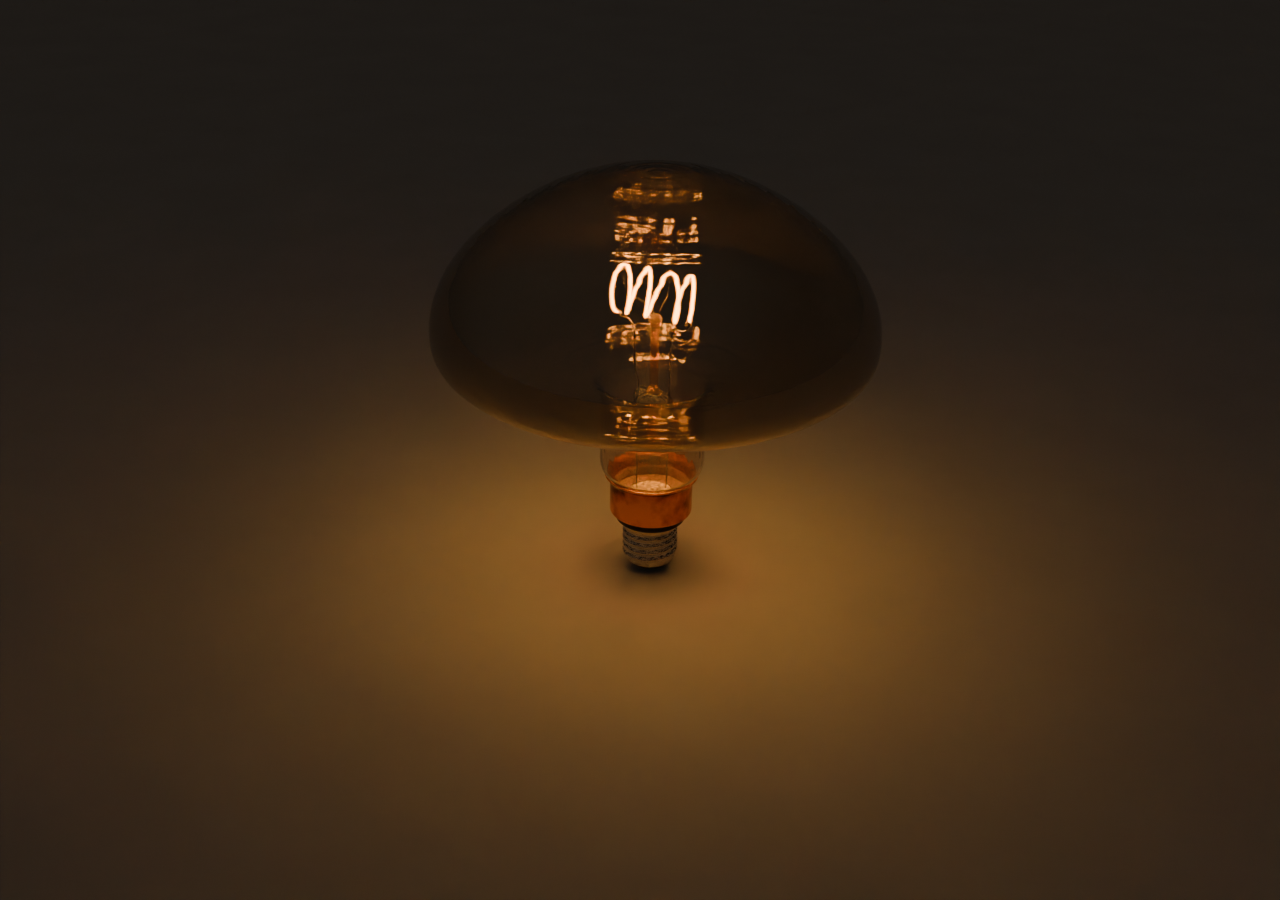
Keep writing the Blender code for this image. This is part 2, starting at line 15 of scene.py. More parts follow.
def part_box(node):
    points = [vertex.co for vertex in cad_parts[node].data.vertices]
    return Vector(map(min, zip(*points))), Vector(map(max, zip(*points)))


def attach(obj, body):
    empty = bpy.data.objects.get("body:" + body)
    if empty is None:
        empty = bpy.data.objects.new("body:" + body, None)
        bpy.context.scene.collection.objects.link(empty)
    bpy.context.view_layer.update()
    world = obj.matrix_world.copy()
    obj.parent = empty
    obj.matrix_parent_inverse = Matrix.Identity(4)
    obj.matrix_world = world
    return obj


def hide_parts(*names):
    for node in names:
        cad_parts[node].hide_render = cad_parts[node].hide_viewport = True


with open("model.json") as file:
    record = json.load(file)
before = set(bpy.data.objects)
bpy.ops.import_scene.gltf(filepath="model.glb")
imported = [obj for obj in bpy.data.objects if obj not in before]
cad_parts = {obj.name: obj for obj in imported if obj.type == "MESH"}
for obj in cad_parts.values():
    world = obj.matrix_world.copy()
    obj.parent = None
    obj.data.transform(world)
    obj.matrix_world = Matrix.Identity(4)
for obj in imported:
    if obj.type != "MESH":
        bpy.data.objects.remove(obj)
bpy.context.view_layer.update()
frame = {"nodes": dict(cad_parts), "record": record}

MM = 0.001
WAVE_REPEAT = 0.31416           # a wave texture at scale 1 repeats at this distance
SHARP_ANGLE = 40.0              # edges sharper than this are not smoothed, in degrees

# Camera: the distance and the two angles that the bulb is seen from, and its framing
CAMERA_PLACE = Vector((-0.0056, -0.6533, 0.4095))
CAMERA_TILT = math.radians(28.0)
CAMERA_ROLL = math.radians(1.25)
CAMERA_LENS = 45.0
CAMERA_SENSOR = 36.0

# Stage, in metres.  The sky's dim end is near the far floor's brightness, so that the
# horizon hardly shows in the glass.
FLOOR_REACH = 40.0
SKY_COLOUR = (1.0, 0.86, 0.74, 1.0)
SKY_BRIGHT_WAY = Vector((-0.50, -0.30, 0.81))
SKY_DIM = 0.014
SKY_BRIGHT = 0.030

# Envelope
ENVELOPE_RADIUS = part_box("glass_envelope")[1].x / MM
ENVELOPE_TOP_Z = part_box("glass_envelope")[1].z / MM
EQUATOR_Z = 124.0
DOME_HEIGHT = ENVELOPE_TOP_Z - EQUATOR_Z
DOME_HOLLOW = 0.035
DISH_DEPTH = 25.0
DISH_FULLNESS = 0.10
DISH_RUN_IN = 6.0               # where the dish ends, outside the fillet's centre
THROAT_FILLET = 6.0
NECK_RADIUS = 24.3
NECK_FOOT_RADIUS = 17.2
NECK_FOOT_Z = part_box("glass_envelope")[0].z / MM
GLASS_WALL = 1.1
CROWN_RIPPLE = 0.065            # half the height of the rings round the crown
DISH_RIPPLE = 0.035
NECK_RIPPLE = 0.24
DOME_COATING = 0.17             # how much of the dome's glass mirrors like metal

# Stem, leads and filament
STEM_RADIUS = 9.2
STEM_TOP_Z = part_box("glass_stem")[1].z / MM
STEM_FLARE_RADIUS = 15.7
STEM_WALL = 1.0
ROD_RADIUS = 2.0
ROD_TOP_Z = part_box("support_rod")[1].z / MM
LEAD_X = 7.0
LEAD_Y = -1.5
LEAD_RADIUS = 0.4
FILAMENT_RADIUS = 1.15
DIODE_RADIUS = 0.62
HAIR_RADIUS = 0.07
COIL_CENTRE = Vector((-0.8, 2.9, 138.6))
COIL_RADIUS = 10.4
COIL_PITCH = 8.5
COIL_YAW = math.radians(14.8)
COIL_DROP = math.radians(3.8)
COIL_START = -0.72              # in half turns; the upper bends lie near 0, 2, 4 and 6
COIL_END = 7.31
COIL_PHASE = -0.156             # how late the bends come, in half turns
BEND_LEANS = (2.9, -2.6, -2.8, 0.2, -2.7, 1.3, 3.0, 2.7, 0.6)   # from a least-squares fit
LEAN_START = -1                 # the first lean's half turn; one lean to each from there
LEAD_RISE = {
    "left": ((-7.0, -1.5, 99.0), (-8.5, -1.5, 104.5), (-9.1, -1.5, 111.0),
             (-9.1, -1.3, 121.5), (-11.2, 1.8, 126.2)),
    "right": ((7.0, -1.5, 99.0), (7.0, -1.5, 110.0), (7.2, -1.6, 119.5),
              (8.8, -4.0, 124.4), (12.0, -8.6, 125.9)),
}
LEAD_HOOK = {"left": (0.6, -1.4, -1.3), "right": (0.0, -0.5, -1.9)}

# Collar
COLLAR_RADIUS = 19.3
COLLAR_BOTTOM_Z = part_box("collar")[0].z / MM
COLLAR_STRAIGHT_TOP_Z = 46.6
LIP_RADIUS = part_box("collar")[1].x / MM
LIP_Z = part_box("collar")[1].z / MM
COLLAR_WALL = 0.6
COLLAR_HOLE_RADIUS = 14.0
COLLAR_CORNER = 1.4

# Screw cap
THREAD_CREST_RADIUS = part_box("screw_shell")[1].x / MM
THREAD_ROOT_RADIUS = 12.05
THREAD_PITCH = 3.629
THREAD_BOTTOM_Z = 7.4
THREAD_TOP_Z = 22.6
SHELL_BOTTOM_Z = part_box("screw_shell")[0].z / MM
SHELL_TOP_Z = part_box("screw_shell")[1].z / MM
SHELL_WALL = 0.35

# Housing and covers
FLANGE_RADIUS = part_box("driver_housing")[1].x / MM
BARREL_RADIUS = 11.2
BARREL_BOTTOM_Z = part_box("driver_housing")[0].z / MM
HOUSING_TOP_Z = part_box("driver_housing")[1].z / MM
TRAY_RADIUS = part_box("tray_cover")[1].x / MM
COVER_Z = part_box("tray_cover")[0].z / MM
COVER_TOP_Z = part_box("tray_cover")[1].z / MM
PLATE_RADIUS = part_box("wire_plate")[1].x / MM
PLATE_TOP_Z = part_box("wire_plate")[1].z / MM
PLATE_HOLES = ((-LEAD_X, LEAD_Y, 0.7), (LEAD_X, LEAD_Y, 0.7), (0.4, -3.6, 0.8),
               (3.0, -3.6, 0.8), (3.0, -6.8, 0.8))    # each an x, a y and a radius


# ---------------------------------------------------------------- node trees

def new_material(name):
    """A material with its tree and its Principled shader."""
    made = bpy.data.materials.new(name)
    made.use_nodes = True
    return made, made.node_tree, made.node_tree.nodes["Principled BSDF"]


def plain(shader, **values):
    """Sets constant values on a shader's own sockets; underscores stand for spaces."""
    for key, value in values.items():
        shader.inputs[key.replace("_", " ")].default_value = value


def add_node(tree, kind, inputs=None, **settings):
    """A shader node of a kind with its settings, and its inputs set or linked."""
    made = tree.nodes.new("ShaderNode" + kind)
    for key, value in settings.items():
        setattr(made, key, value)
    for key, value in (inputs or {}).items():
        if isinstance(value, bpy.types.NodeSocket):
            tree.links.new(value, made.inputs[key])
        else:
            made.inputs[key].default_value = value
    return made


def places(tree, scale=(1.0, 1.0, 1.0)):
    """Points on the surface, in metres, stretched by a scale."""
    source = add_node(tree, "TexCoord").outputs["Object"]
    return add_node(tree, "Mapping",
                    {"Vector": source, "Scale": scale}).outputs["Vector"]


def grain(tree, size, detail=4.0, roughness=0.55, scale=(1.0, 1.0, 1.0), distortion=0.0):
    """Noise from 0 to 1 whose blotches are about a size in millimetres."""
    return add_node(tree, "TexNoise",
                    {"Vector": places(tree, scale), "Scale": 1.0 / (size * MM),
                     "Detail": detail, "Roughness": roughness,
                     "Distortion": distortion}).outputs["Fac"]


def cells(tree, size, feature="F1"):
    """Distance to the nearest of many scattered points about a size apart."""
    return add_node(tree, "TexVoronoi",
                    {"Vector": places(tree), "Scale": 1.0 / (size * MM)},
                    feature=feature).outputs["Distance"]


def bands(tree, size, direction="Z"):
    """Soft stripes across a direction, a size in millimetres from one to the next."""
    return add_node(tree, "TexWave",
                    {"Vector": places(tree), "Scale": WAVE_REPEAT / (size * MM)},
                    wave_type="BANDS", bands_direction=direction).outputs["Fac"]


def spread(tree, value, low, high, out_low, out_high):
    """Maps a value from one range to another, held at its ends."""
    return add_node(tree, "MapRange",
                    {"Value": value, "From Min": low, "From Max": high,
                     "To Min": out_low, "To Max": out_high}).outputs["Result"]


def maths(tree, operation, first, second):
    """One sum of two values."""
    return add_node(tree, "Math", {0: first, 1: second},
                    operation=operation).outputs[0]


def tones(tree, value, *stops):
    """Colours picked along a value; each stop is a position and a colour."""
    made = add_node(tree, "ValToRGB", {"Fac": value})
    elements = made.color_ramp.elements
    elements.remove(elements[1])
    for index, (position, colour) in enumerate(stops):
        stop = elements.new(position) if index else elements[0]
        stop.position = position
        stop.color = (*colour, 1.0)
    return made.outputs["Color"]


def mixed(tree, factor, first, second):
    """A colour mix of two colours."""
    made = add_node(tree, "Mix", data_type="RGBA")
    for index, value in ((0, factor), (6, first), (7, second)):
        if isinstance(value, bpy.types.NodeSocket):
            tree.links.new(value, made.inputs[index])
        elif index:
            made.inputs[index].default_value = (*value, 1.0)
        else:
            made.inputs[index].default_value = value
    return made.outputs[2]


def height(tree, amount):
    """The surface's height above the floor, in millimetres, mapped by a (low, high) pair."""
    parts = add_node(tree, "SeparateXYZ", {"Vector": places(tree)})
    return spread(tree, parts.outputs["Z"], amount[0] * MM, amount[1] * MM, 0.0, 1.0)


def bump(tree, shader, value, depth):
    """Relief from a value, a depth in millimetres from its low to its high."""
    made = add_node(tree, "Bump",
                    {"Height": value, "Distance": depth * MM, "Strength": 1.0})
    tree.links.new(made.outputs["Normal"], shader.inputs["Normal"])


def feed(tree, shader, **sockets):
    """Links outputs to a shader's inputs; underscores stand for spaces."""
    for key, value in sockets.items():
        tree.links.new(value, shader.inputs[key.replace("_", " ")])


def let_lamps_through(tree, shader, tint):
    """Glass that the lamps' light reaches through, tinted, without being bent."""
    colour = tint if isinstance(tint, bpy.types.NodeSocket) else (*tint, 1.0)
    clear = add_node(tree, "BsdfTransparent", {"Color": colour})
    path = add_node(tree, "LightPath")
    both = add_node(tree, "MixShader",
                    {0: path.outputs["Is Shadow Ray"], 1: shader.outputs[0],
                     2: clear.outputs[0]})
    tree.links.new(both.outputs[0], tree.nodes["Material Output"].inputs["Surface"])


# ---------------------------------------------------------------- glass and light

def smoked_glass():
    """Smoke-tinted glass, clearer down the neck, under a faint and uneven mirror coating."""
    made, tree, shader = new_material("smoked_glass")
    clouds = grain(tree, 38.0, 3.0, 0.5, (1.0, 1.0, 1.6))
    tint = tones(tree, clouds, (0.25, (0.77, 0.67, 0.52)), (0.75, (0.85, 0.77, 0.64)))
    neck = height(tree, (46.0, 96.0))
    feed(tree, shader, Base_Color=mixed(tree, neck, (0.90, 0.84, 0.76), tint),
         Roughness=spread(tree, grain(tree, 12.0, 5.0), 0.5, 0.75, 0.0, 0.012),
         Metallic=spread(tree, neck, 0.3, 0.85, 0.0, DOME_COATING))
    plain(shader, Transmission_Weight=1.0, IOR=2.0)
    bump(tree, shader, grain(tree, 9.0, 2.0, 0.4), 0.004)
    let_lamps_through(tree, shader, mixed(tree, neck, (0.24, 0.10, 0.145), (0.014, 0.0052, 0.0082)))
    return made


def clear_glass(name="clear_glass", dark=(0.93, 0.92, 0.88), light=(0.98, 0.97, 0.94),
                clearness=1.0):
    """Lamp glass with a faint warmth and a few seeds."""
    made, tree, shader = new_material(name)
    seeds = spread(tree, cells(tree, 3.2), 0.0, 0.10, 1.0, 0.0)
    feed(tree, shader,
         Base_Color=tones(tree, grain(tree, 7.0), (0.3, dark), (0.7, light)),
         Roughness=spread(tree, grain(tree, 2.5, 4.0), 0.55, 0.8, 0.0, 0.03))
    plain(shader, Transmission_Weight=clearness, IOR=1.5)
    bump(tree, shader, maths(tree, "ADD", seeds, grain(tree, 3.0, 2.0, 0.4)), 0.03)
    let_lamps_through(tree, shader, (0.93, 0.92, 0.89))
    return made


def thin_glass():
    """Thin drawn tube: mostly clear, with a faint warm film and bright edges."""
    made, tree, shader = new_material("thin_glass")
    film = grain(tree, 5.0, 4.0)
    feed(tree, shader,
         Base_Color=tones(tree, film, (0.3, (0.72, 0.66, 0.56)), (0.7, (0.90, 0.86, 0.78))),
         Roughness=spread(tree, film, 0.4, 0.7, 0.02, 0.08))
    plain(shader, Alpha=0.03, IOR=1.5)
    return made


def filament_core():
    """The row of lit diodes under the silicone: a bright spot for each chip."""
    made, tree, shader = new_material("filament_core")
    chips = add_node(tree, "TexWave",
                     {"Vector": add_node(tree, "TexCoord").outputs["UV"],
                      "Scale": WAVE_REPEAT},
                     wave_type="BANDS", bands_direction="X").outputs["Fac"]
    feed(tree, shader,
         Base_Color=tones(tree, chips, (0.2, (0.95, 0.55, 0.20)), (0.8, (1.0, 0.75, 0.40))),
         Emission_Color=tones(tree, chips, (0.1, (1.0, 0.52, 0.12)), (0.9, (1.0, 0.60, 0.16))))
    plain(shader, Roughness=0.5, Emission_Strength=600.0)
    return made


def filament_jacket():
    """Amber phosphor silicone round the diodes, glowing and mostly clear."""
    made, tree, shader = new_material("filament_jacket")
    cloud = grain(tree, 1.1, 3.0)
    feed(tree, shader,
         Base_Color=tones(tree, cloud, (0.3, (0.95, 0.42, 0.08)), (0.7, (1.0, 0.58, 0.16))),
         Emission_Color=tones(tree, cloud, (0.3, (1.0, 0.34, 0.03)), (0.7, (1.0, 0.42, 0.05))),
         Roughness=spread(tree, cloud, 0.3, 0.7, 0.25, 0.4))
    plain(shader, Emission_Strength=2.0, Alpha=0.25, IOR=1.41)
    bump(tree, shader, cloud, 0.02)
    return made


# ---------------------------------------------------------------- metals

def worked_metal(name, dark, light, rough_low, rough_high, grain_size=4.0,
                 scratch=(1.0, 1.0, 14.0), scratch_depth=0.004):
    """Metal with clouds of tone, fine drawn lines and smudges that dull it."""
    made, tree, shader = new_material(name)
    clouds = grain(tree, grain_size, 5.0)
    lines = grain(tree, 1.4, 6.0, 0.65, scratch)
    smudge = maths(tree, "MULTIPLY", grain(tree, grain_size * 1.7, 3.0), 0.6)
    dull = maths(tree, "ADD", smudge, maths(tree, "MULTIPLY", lines, 0.4))
    feed(tree, shader,
         Base_Color=tones(tree, clouds, (0.28, dark), (0.72, light)),
         Roughness=spread(tree, dull, 0.35, 0.65, rough_low, rough_high))
    plain(shader, Metallic=1.0)
    bump(tree, shader, lines, scratch_depth)
    return made


def copper_outside():
    """Polished copper plate: spun lines round it, brown clouds, dark specks, painted dark reflections
    and a painted highlight round the lip's top edge.
    """
    made, tree, shader = new_material("copper_outside")
    clouds = grain(tree, 7.0, 6.0, 0.6)
    spin = grain(tree, 1.8, 5.0, 0.7, (0.35, 0.35, 16.0))
    specks = spread(tree, cells(tree, 1.9), 0.05, 0.16, 1.0, 0.0)
    # Painted reflection: big dark patches in the colour, darker towards the top, standing in for a
    # dark room mirrored in the polished copper.
    painted_reflection = maths(tree, "SUBTRACT", grain(tree, 15.0, 3.0, 0.5, (1.0, 1.0, 0.7)),
                  maths(tree, "MULTIPLY", height(tree, (LIP_Z - 15.0, LIP_Z - 2.0)), 0.22))
    copper_and_painted_reflection = tones(tree, maths(tree, "ADD", painted_reflection, maths(tree, "MULTIPLY", clouds, 0.35)),
                     (0.42, (0.16, 0.04, 0.025)), (0.56, (0.66, 0.19, 0.12)),
                     (0.70, (0.97, 0.36, 0.24)))
    colour = mixed(tree, maths(tree, "MULTIPLY", specks, 0.4), copper_and_painted_reflection, (0.26, 0.10, 0.06))
    # Painted highlight: a pale copper band round the lip's top edge, standing in for the filament's
    # light glinting there.
    painted_rim_highlight = height(tree, (LIP_Z - 0.9, LIP_Z - 0.1))
    feed(tree, shader, Base_Color=mixed(tree, painted_rim_highlight, colour, (0.98, 0.66, 0.44)),
         Roughness=spread(tree, maths(tree, "ADD", spin, maths(tree, "MULTIPLY", clouds, 0.5)),
                          0.55, 1.0, 0.11, 0.30))
    plain(shader, Metallic=1.0)
    bump(tree, shader, spin, 0.010)
    return made


def copper_inside():
    """The inside of the collar: brushed, speckled and duller."""
    made, tree, shader = new_material("copper_inside")
    brushed = grain(tree, 2.2, 6.0, 0.7, (0.5, 0.5, 10.0))
    specks = grain(tree, 1.5, 4.0, 0.75)
    mottle = maths(tree, "MULTIPLY", specks, brushed)
    feed(tree, shader,
         Base_Color=tones(tree, mottle, (0.18, (0.10, 0.025, 0.010)), (0.26, (0.50, 0.16, 0.06)),
                          (0.36, (0.92, 0.40, 0.18))),
         Roughness=spread(tree, mottle, 0.1, 0.45, 0.48, 0.26))
    plain(shader, Metallic=1.0)
    bump(tree, shader, mottle, 0.05)
    return made


def shell_plate():
    """Nickel-plated brass of the screw shell, with brass showing where the crests rub."""
    made, tree, shader = new_material("cap_shell")
    clouds = grain(tree, 5.0, 5.0)
    scuffs = grain(tree, 1.2, 6.0, 0.7, (0.6, 0.6, 7.0))
    source = add_node(tree, "TexCoord").outputs["Object"]
    flat = add_node(tree, "VectorMath", {0: source, 1: (1.0, 1.0, 0.0)},
                    operation="MULTIPLY").outputs[0]
    out = add_node(tree, "VectorMath", {0: flat}, operation="LENGTH").outputs["Value"]
    crest = spread(tree, out, (THREAD_CREST_RADIUS - 0.18) * MM, THREAD_CREST_RADIUS * MM, 0.0, 1.0)
    rubbed = maths(tree, "MULTIPLY", crest, spread(tree, scuffs, 0.42, 0.62, 0.0, 0.8))
    nickel = tones(tree, clouds, (0.3, (0.58, 0.55, 0.49)), (0.7, (0.76, 0.73, 0.67)))
    feed(tree, shader, Base_Color=mixed(tree, rubbed, nickel, (0.80, 0.60, 0.30)),
         Roughness=spread(tree, scuffs, 0.3, 0.7, 0.17, 0.36))
    plain(shader, Metallic=1.0)
    bump(tree, shader, scuffs, 0.012)
    return made


def enamelled_copper():
    """Turns of enamelled wire wound side by side."""
    made, tree, shader = new_material("enamelled_copper")
    turns = bands(tree, 0.4)
    feed(tree, shader,
         Base_Color=tones(tree, turns, (0.15, (0.22, 0.07, 0.02)), (0.7, (0.72, 0.30, 0.11))),
         Roughness=spread(tree, grain(tree, 0.8), 0.3, 0.7, 0.18, 0.34))
    plain(shader, Metallic=0.7, Coat_Weight=0.5, Coat_Roughness=0.15)
    bump(tree, shader, turns, 0.14)
    return made


# ---------------------------------------------------------------- plastics and the rest

def moulded(name, dark, light, rough_low, rough_high, grain_size=0.5, depth=0.012, wear=3.0):
    """Moulded plastic: a fine spark-eroded grain, faint clouds and rubbed, shinier patches."""
    made, tree, shader = new_material(name)
    fine = grain(tree, grain_size, 4.0, 0.6)
    clouds = grain(tree, wear, 4.0)
    feed(tree, shader,
         Base_Color=tones(tree, clouds, (0.3, dark), (0.7, light)),
         Roughness=spread(tree, maths(tree, "ADD", fine, clouds), 0.7, 1.3, rough_high, rough_low))
    bump(tree, shader, fine, depth)
    return made


def cement():
    """Set bonding cement: chalky, pitted and stained by heat."""
    made, tree, shader = new_material("bonding_cement")
    pits = spread(tree, cells(tree, 1.3), 0.05, 0.40, 0.0, 1.0)
    body = grain(tree, 1.3, 5.0, 0.7)
    feed(tree, shader,
         Base_Color=tones(tree, maths(tree, "MULTIPLY", body, pits), (0.10, (0.05, 0.015, 0.005)),
                          (0.35, (0.20, 0.07, 0.025)), (0.65, (0.40, 0.17, 0.07))),
         Roughness=spread(tree, body, 0.3, 0.7, 0.8, 0.95))
    bump(tree, shader, maths(tree, "ADD", body, pits), 0.12)
    return made


def speckled(name, dark, middle, light):
    """A warm lacquered surface, sprinkled all over with coarse dark and bright grains."""
    made, tree, shader = new_material(name)
    grains = grain(tree, 1.5, 3.0, 0.75)
    feed(tree, shader,
         Base_Color=tones(tree, grains, (0.40, dark), (0.50, middle), (0.60, light)),
         Roughness=spread(tree, grains, 0.4, 0.6, 0.6, 0.35))
    bump(tree, shader, grains, 0.12)
    return made


def black_glass():
    """The cap's pressed black glass insulator, with flow marks and a few bubbles."""
    made, tree, shader = new_material("cap_insulator")
    flow = grain(tree, 4.0, 3.0, 0.5, (1.0, 1.0, 3.0), 1.2)
    bubbles = spread(tree, cells(tree, 1.5), 0.0, 0.12, 0.0, 1.0)
    feed(tree, shader,
         Base_Color=tones(tree, flow, (0.3, (0.010, 0.010, 0.013)), (0.7, (0.035, 0.033, 0.040))),
         Roughness=spread(tree, flow, 0.3, 0.7, 0.06, 0.20))
    plain(shader, Coat_Weight=0.4, Coat_Roughness=0.05)
    bump(tree, shader, maths(tree, "ADD", bubbles, flow), 0.05)
    return made


def laminate(name, dark, light):
    """A circuit board: solder mask over copper tracks, with the glass weave just showing."""
    made, tree, shader = new_material(name)
    weave = maths(tree, "MULTIPLY", bands(tree, 0.35, "X"), bands(tree, 0.35, "Y"))
    tracks = spread(tree, cells(tree, 1.7, "DISTANCE_TO_EDGE"), 0.09, 0.12, 1.0, 0.0)
    mask = tones(tree, grain(tree, 4.0), (0.3, dark), (0.7, light))
    over = tuple(min(1.0, channel * 1.9 + 0.02) for channel in light)
    feed(tree, shader, Base_Color=mixed(tree, tracks, mask, over),
         Roughness=spread(tree, weave, 0.0, 1.0, 0.34, 0.46))
    plain(shader, Coat_Weight=0.35, Coat_Roughness=0.2)
    bump(tree, shader, maths(tree, "ADD", maths(tree, "MULTIPLY", weave, 0.25), tracks), 0.035)
    return made


def sleeve():
    """Shrink sleeve on a capacitor: dark, waxy, with a pale stripe down one side."""
    made, tree, shader = new_material("capacitor_sleeve")
    parts = add_node(tree, "SeparateXYZ", {"Vector": places(tree)})
    stripe = maths(tree, "MULTIPLY",
                   spread(tree, parts.outputs["X"], 1.6 * MM, 1.7 * MM, 0.0, 1.0),
                   spread(tree, parts.outputs["Y"], -4.6 * MM, -4.5 * MM, 1.0, 0.0))
    body = tones(tree, grain(tree, 3.0), (0.3, (0.025, 0.03, 0.055)), (0.7, (0.05, 0.06, 0.10)))
    feed(tree, shader, Base_Color=mixed(tree, stripe, body, (0.55, 0.56, 0.58)),
         Roughness=spread(tree, grain(tree, 0.9), 0.3, 0.7, 0.28, 0.42))
    bump(tree, shader, grain(tree, 1.2, 4.0), 0.03)
    return made


def banded_resistor():
    """A lacquered resistor with plain colour bands along it."""
    made, tree, shader = new_material("resistor_body")
    parts = add_node(tree, "SeparateXYZ", {"Vector": places(tree)})
    along = spread(tree, parts.outputs["X"], -3.6 * MM, 3.6 * MM, 0.0, 1.0)
    body = (0.30, 0.46, 0.42)
    stops = [(0.0, body)]
    for start, colour in ((0.18, (0.25, 0.10, 0.03)), (0.36, (0.02, 0.02, 0.02)),
                          (0.54, (0.55, 0.35, 0.10)), (0.76, (0.60, 0.45, 0.16))):
        stops += [(start, colour), (start + 0.09, body)]
    painted = tones(tree, along, *stops)
    tree.nodes["Color Ramp"].color_ramp.interpolation = "CONSTANT"
    feed(tree, shader, Base_Color=mixed(tree, spread(tree, grain(tree, 1.0), 0.3, 0.7, 0.0, 0.12),
                                        painted, (0.05, 0.05, 0.05)),
         Roughness=spread(tree, grain(tree, 0.8), 0.3, 0.7, 0.25, 0.40))
    bump(tree, shader, grain(tree, 0.7), 0.04)
    return made


OWN_FINISHES = {
    "smoked_glass": smoked_glass,
    "clear_glass": clear_glass,
    "lit_filament": filament_core,
    "copper_plate": copper_outside,
    "bonding_cement": cement,
    "cap_shell": shell_plate,
    "cap_insulator": black_glass,
    "capacitor_sleeve": sleeve,
    "resistor_body": banded_resistor,
    "enamelled_copper": enamelled_copper,
}

# Each slot's maker, and what the maker takes after the slot's name
FAMILY_FINISHES = {
    "nickel_wire": (worked_metal, (0.09, 0.055, 0.035), (0.24, 0.17, 0.11), 0.16, 0.34, 2.0,
                    (4.0, 4.0, 0.8)),
    "contact_metal": (worked_metal, (0.52, 0.52, 0.50), (0.80, 0.79, 0.76), 0.24, 0.44, 1.5,
                      (5.0, 5.0, 5.0), 0.012),
    "tinned_can": (worked_metal, (0.55, 0.55, 0.54), (0.76, 0.76, 0.75), 0.20, 0.36, 2.0,
                   (1.0, 12.0, 1.0), 0.006),
    "copper_track": (worked_metal, (0.62, 0.33, 0.17), (0.88, 0.56, 0.34), 0.24, 0.42, 1.0),
    "terminal_brass": (worked_metal, (0.62, 0.45, 0.20), (0.88, 0.70, 0.38), 0.20, 0.36, 1.0),
    "cover_plastic": (speckled, (0.02, 0.005, 0.001), (0.12, 0.036, 0.009),
                      (0.38, 0.14, 0.035)),
    # plate_plastic is painted warm light: the pale plate is coloured yellow-orange, standing in for
    # the filament's light falling down the neck onto it.
    "plate_plastic": (speckled, (0.05, 0.016, 0.004), (0.30, 0.16, 0.04), (0.72, 0.46, 0.14)),
    "circuit_board": (laminate, (0.012, 0.09, 0.04), (0.025, 0.15, 0.07)),
    "module_board": (laminate, (0.010, 0.025, 0.09), (0.02, 0.05, 0.16)),
    "housing_plastic": (moulded, (0.022, 0.019, 0.016), (0.045, 0.038, 0.032), 0.34, 0.52),
    "chip_moulding": (moulded, (0.012, 0.012, 0.013), (0.028, 0.028, 0.030), 0.42, 0.62, 0.25,
                      0.015, 1.5),
    "film_case": (moulded, (0.42, 0.07, 0.03), (0.62, 0.13, 0.05), 0.16, 0.30, 1.2, 0.06, 2.0),
    "chip_resistor": (moulded, (0.02, 0.02, 0.025), (0.06, 0.06, 0.07), 0.25, 0.45, 0.3, 0.01,
                      1.0),
    "ferrite": (moulded, (0.045, 0.043, 0.042), (0.10, 0.095, 0.09), 0.55, 0.80, 0.35, 0.04,
                1.5),
    "red_insulation": (moulded, (0.40, 0.025, 0.018), (0.58, 0.05, 0.03), 0.28, 0.45, 0.4,
                       0.012, 2.0),
    "black_insulation": (moulded, (0.012, 0.012, 0.012), (0.03, 0.03, 0.03), 0.28, 0.45, 0.4,
                         0.012, 2.0),
}


# ---------------------------------------------------------------- mesh makers

def placed(name, data):
    """An object for a mesh or a camera, put in the scene."""
    made = bpy.data.objects.new(name, data)
    bpy.context.scene.collection.objects.link(made)
    return made


def mesh_of(name, form, scale=MM):
    """A mesh from a bmesh, which is used up."""
    mesh = bpy.data.meshes.new(name)
    form.to_mesh(mesh)
    form.free()
    mesh.transform(Matrix.Scale(scale, 4))
    return mesh


def finished(name, form, finishes, slot_name, *nodes, sharp=SHARP_ANGLE):
    """Turns a bmesh into a piece that rides on the bulb and stands for CAD nodes."""
    bmesh.ops.recalc_face_normals(form, faces=form.faces)
    mesh = mesh_of(name, form)
    for finish in finishes:
        mesh.materials.append(finish)
    mesh.shade_smooth()
    mesh.set_sharp_from_angle(angle=math.radians(sharp))
    piece = placed(name, mesh)
    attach(piece, "root")
    if nodes:
        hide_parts(*nodes)
    return piece


def turned(profile, segments=96, closed=False, zones=None, shape=None):
    """A bmesh turned about Z from (radius, height) points that run down the outer side.

    closed joins the profile's ends; zones gives each span's material; shape moves a point.
    """
    form = bmesh.new()
    rings = []
    for index, (radius, level) in enumerate(profile):
        if radius == 0.0:
            rings.append([form.verts.new((0.0, 0.0, level))] * segments)
            continue
        ring = []
        for step in range(segments):
            angle = 2 * math.pi * step / segments
            place = Vector((radius * math.cos(angle), radius * math.sin(angle), level))
            ring.append(form.verts.new(shape(place, index) if shape else place))
        rings.append(ring)
    spans = list(zip(rings, rings[1:]))
    if closed:
        spans.append((rings[-1], rings[0]))
    for span, (upper, lower) in enumerate(spans):
        for step in range(segments):
            after = (step + 1) % segments
            corners = (upper[step], lower[step], lower[after], upper[after])
            corners = tuple(dict.fromkeys(corners))
            if len(corners) > 2:
                face = form.faces.new(corners)
                face.material_index = zones[span] if zones else 0
    return form


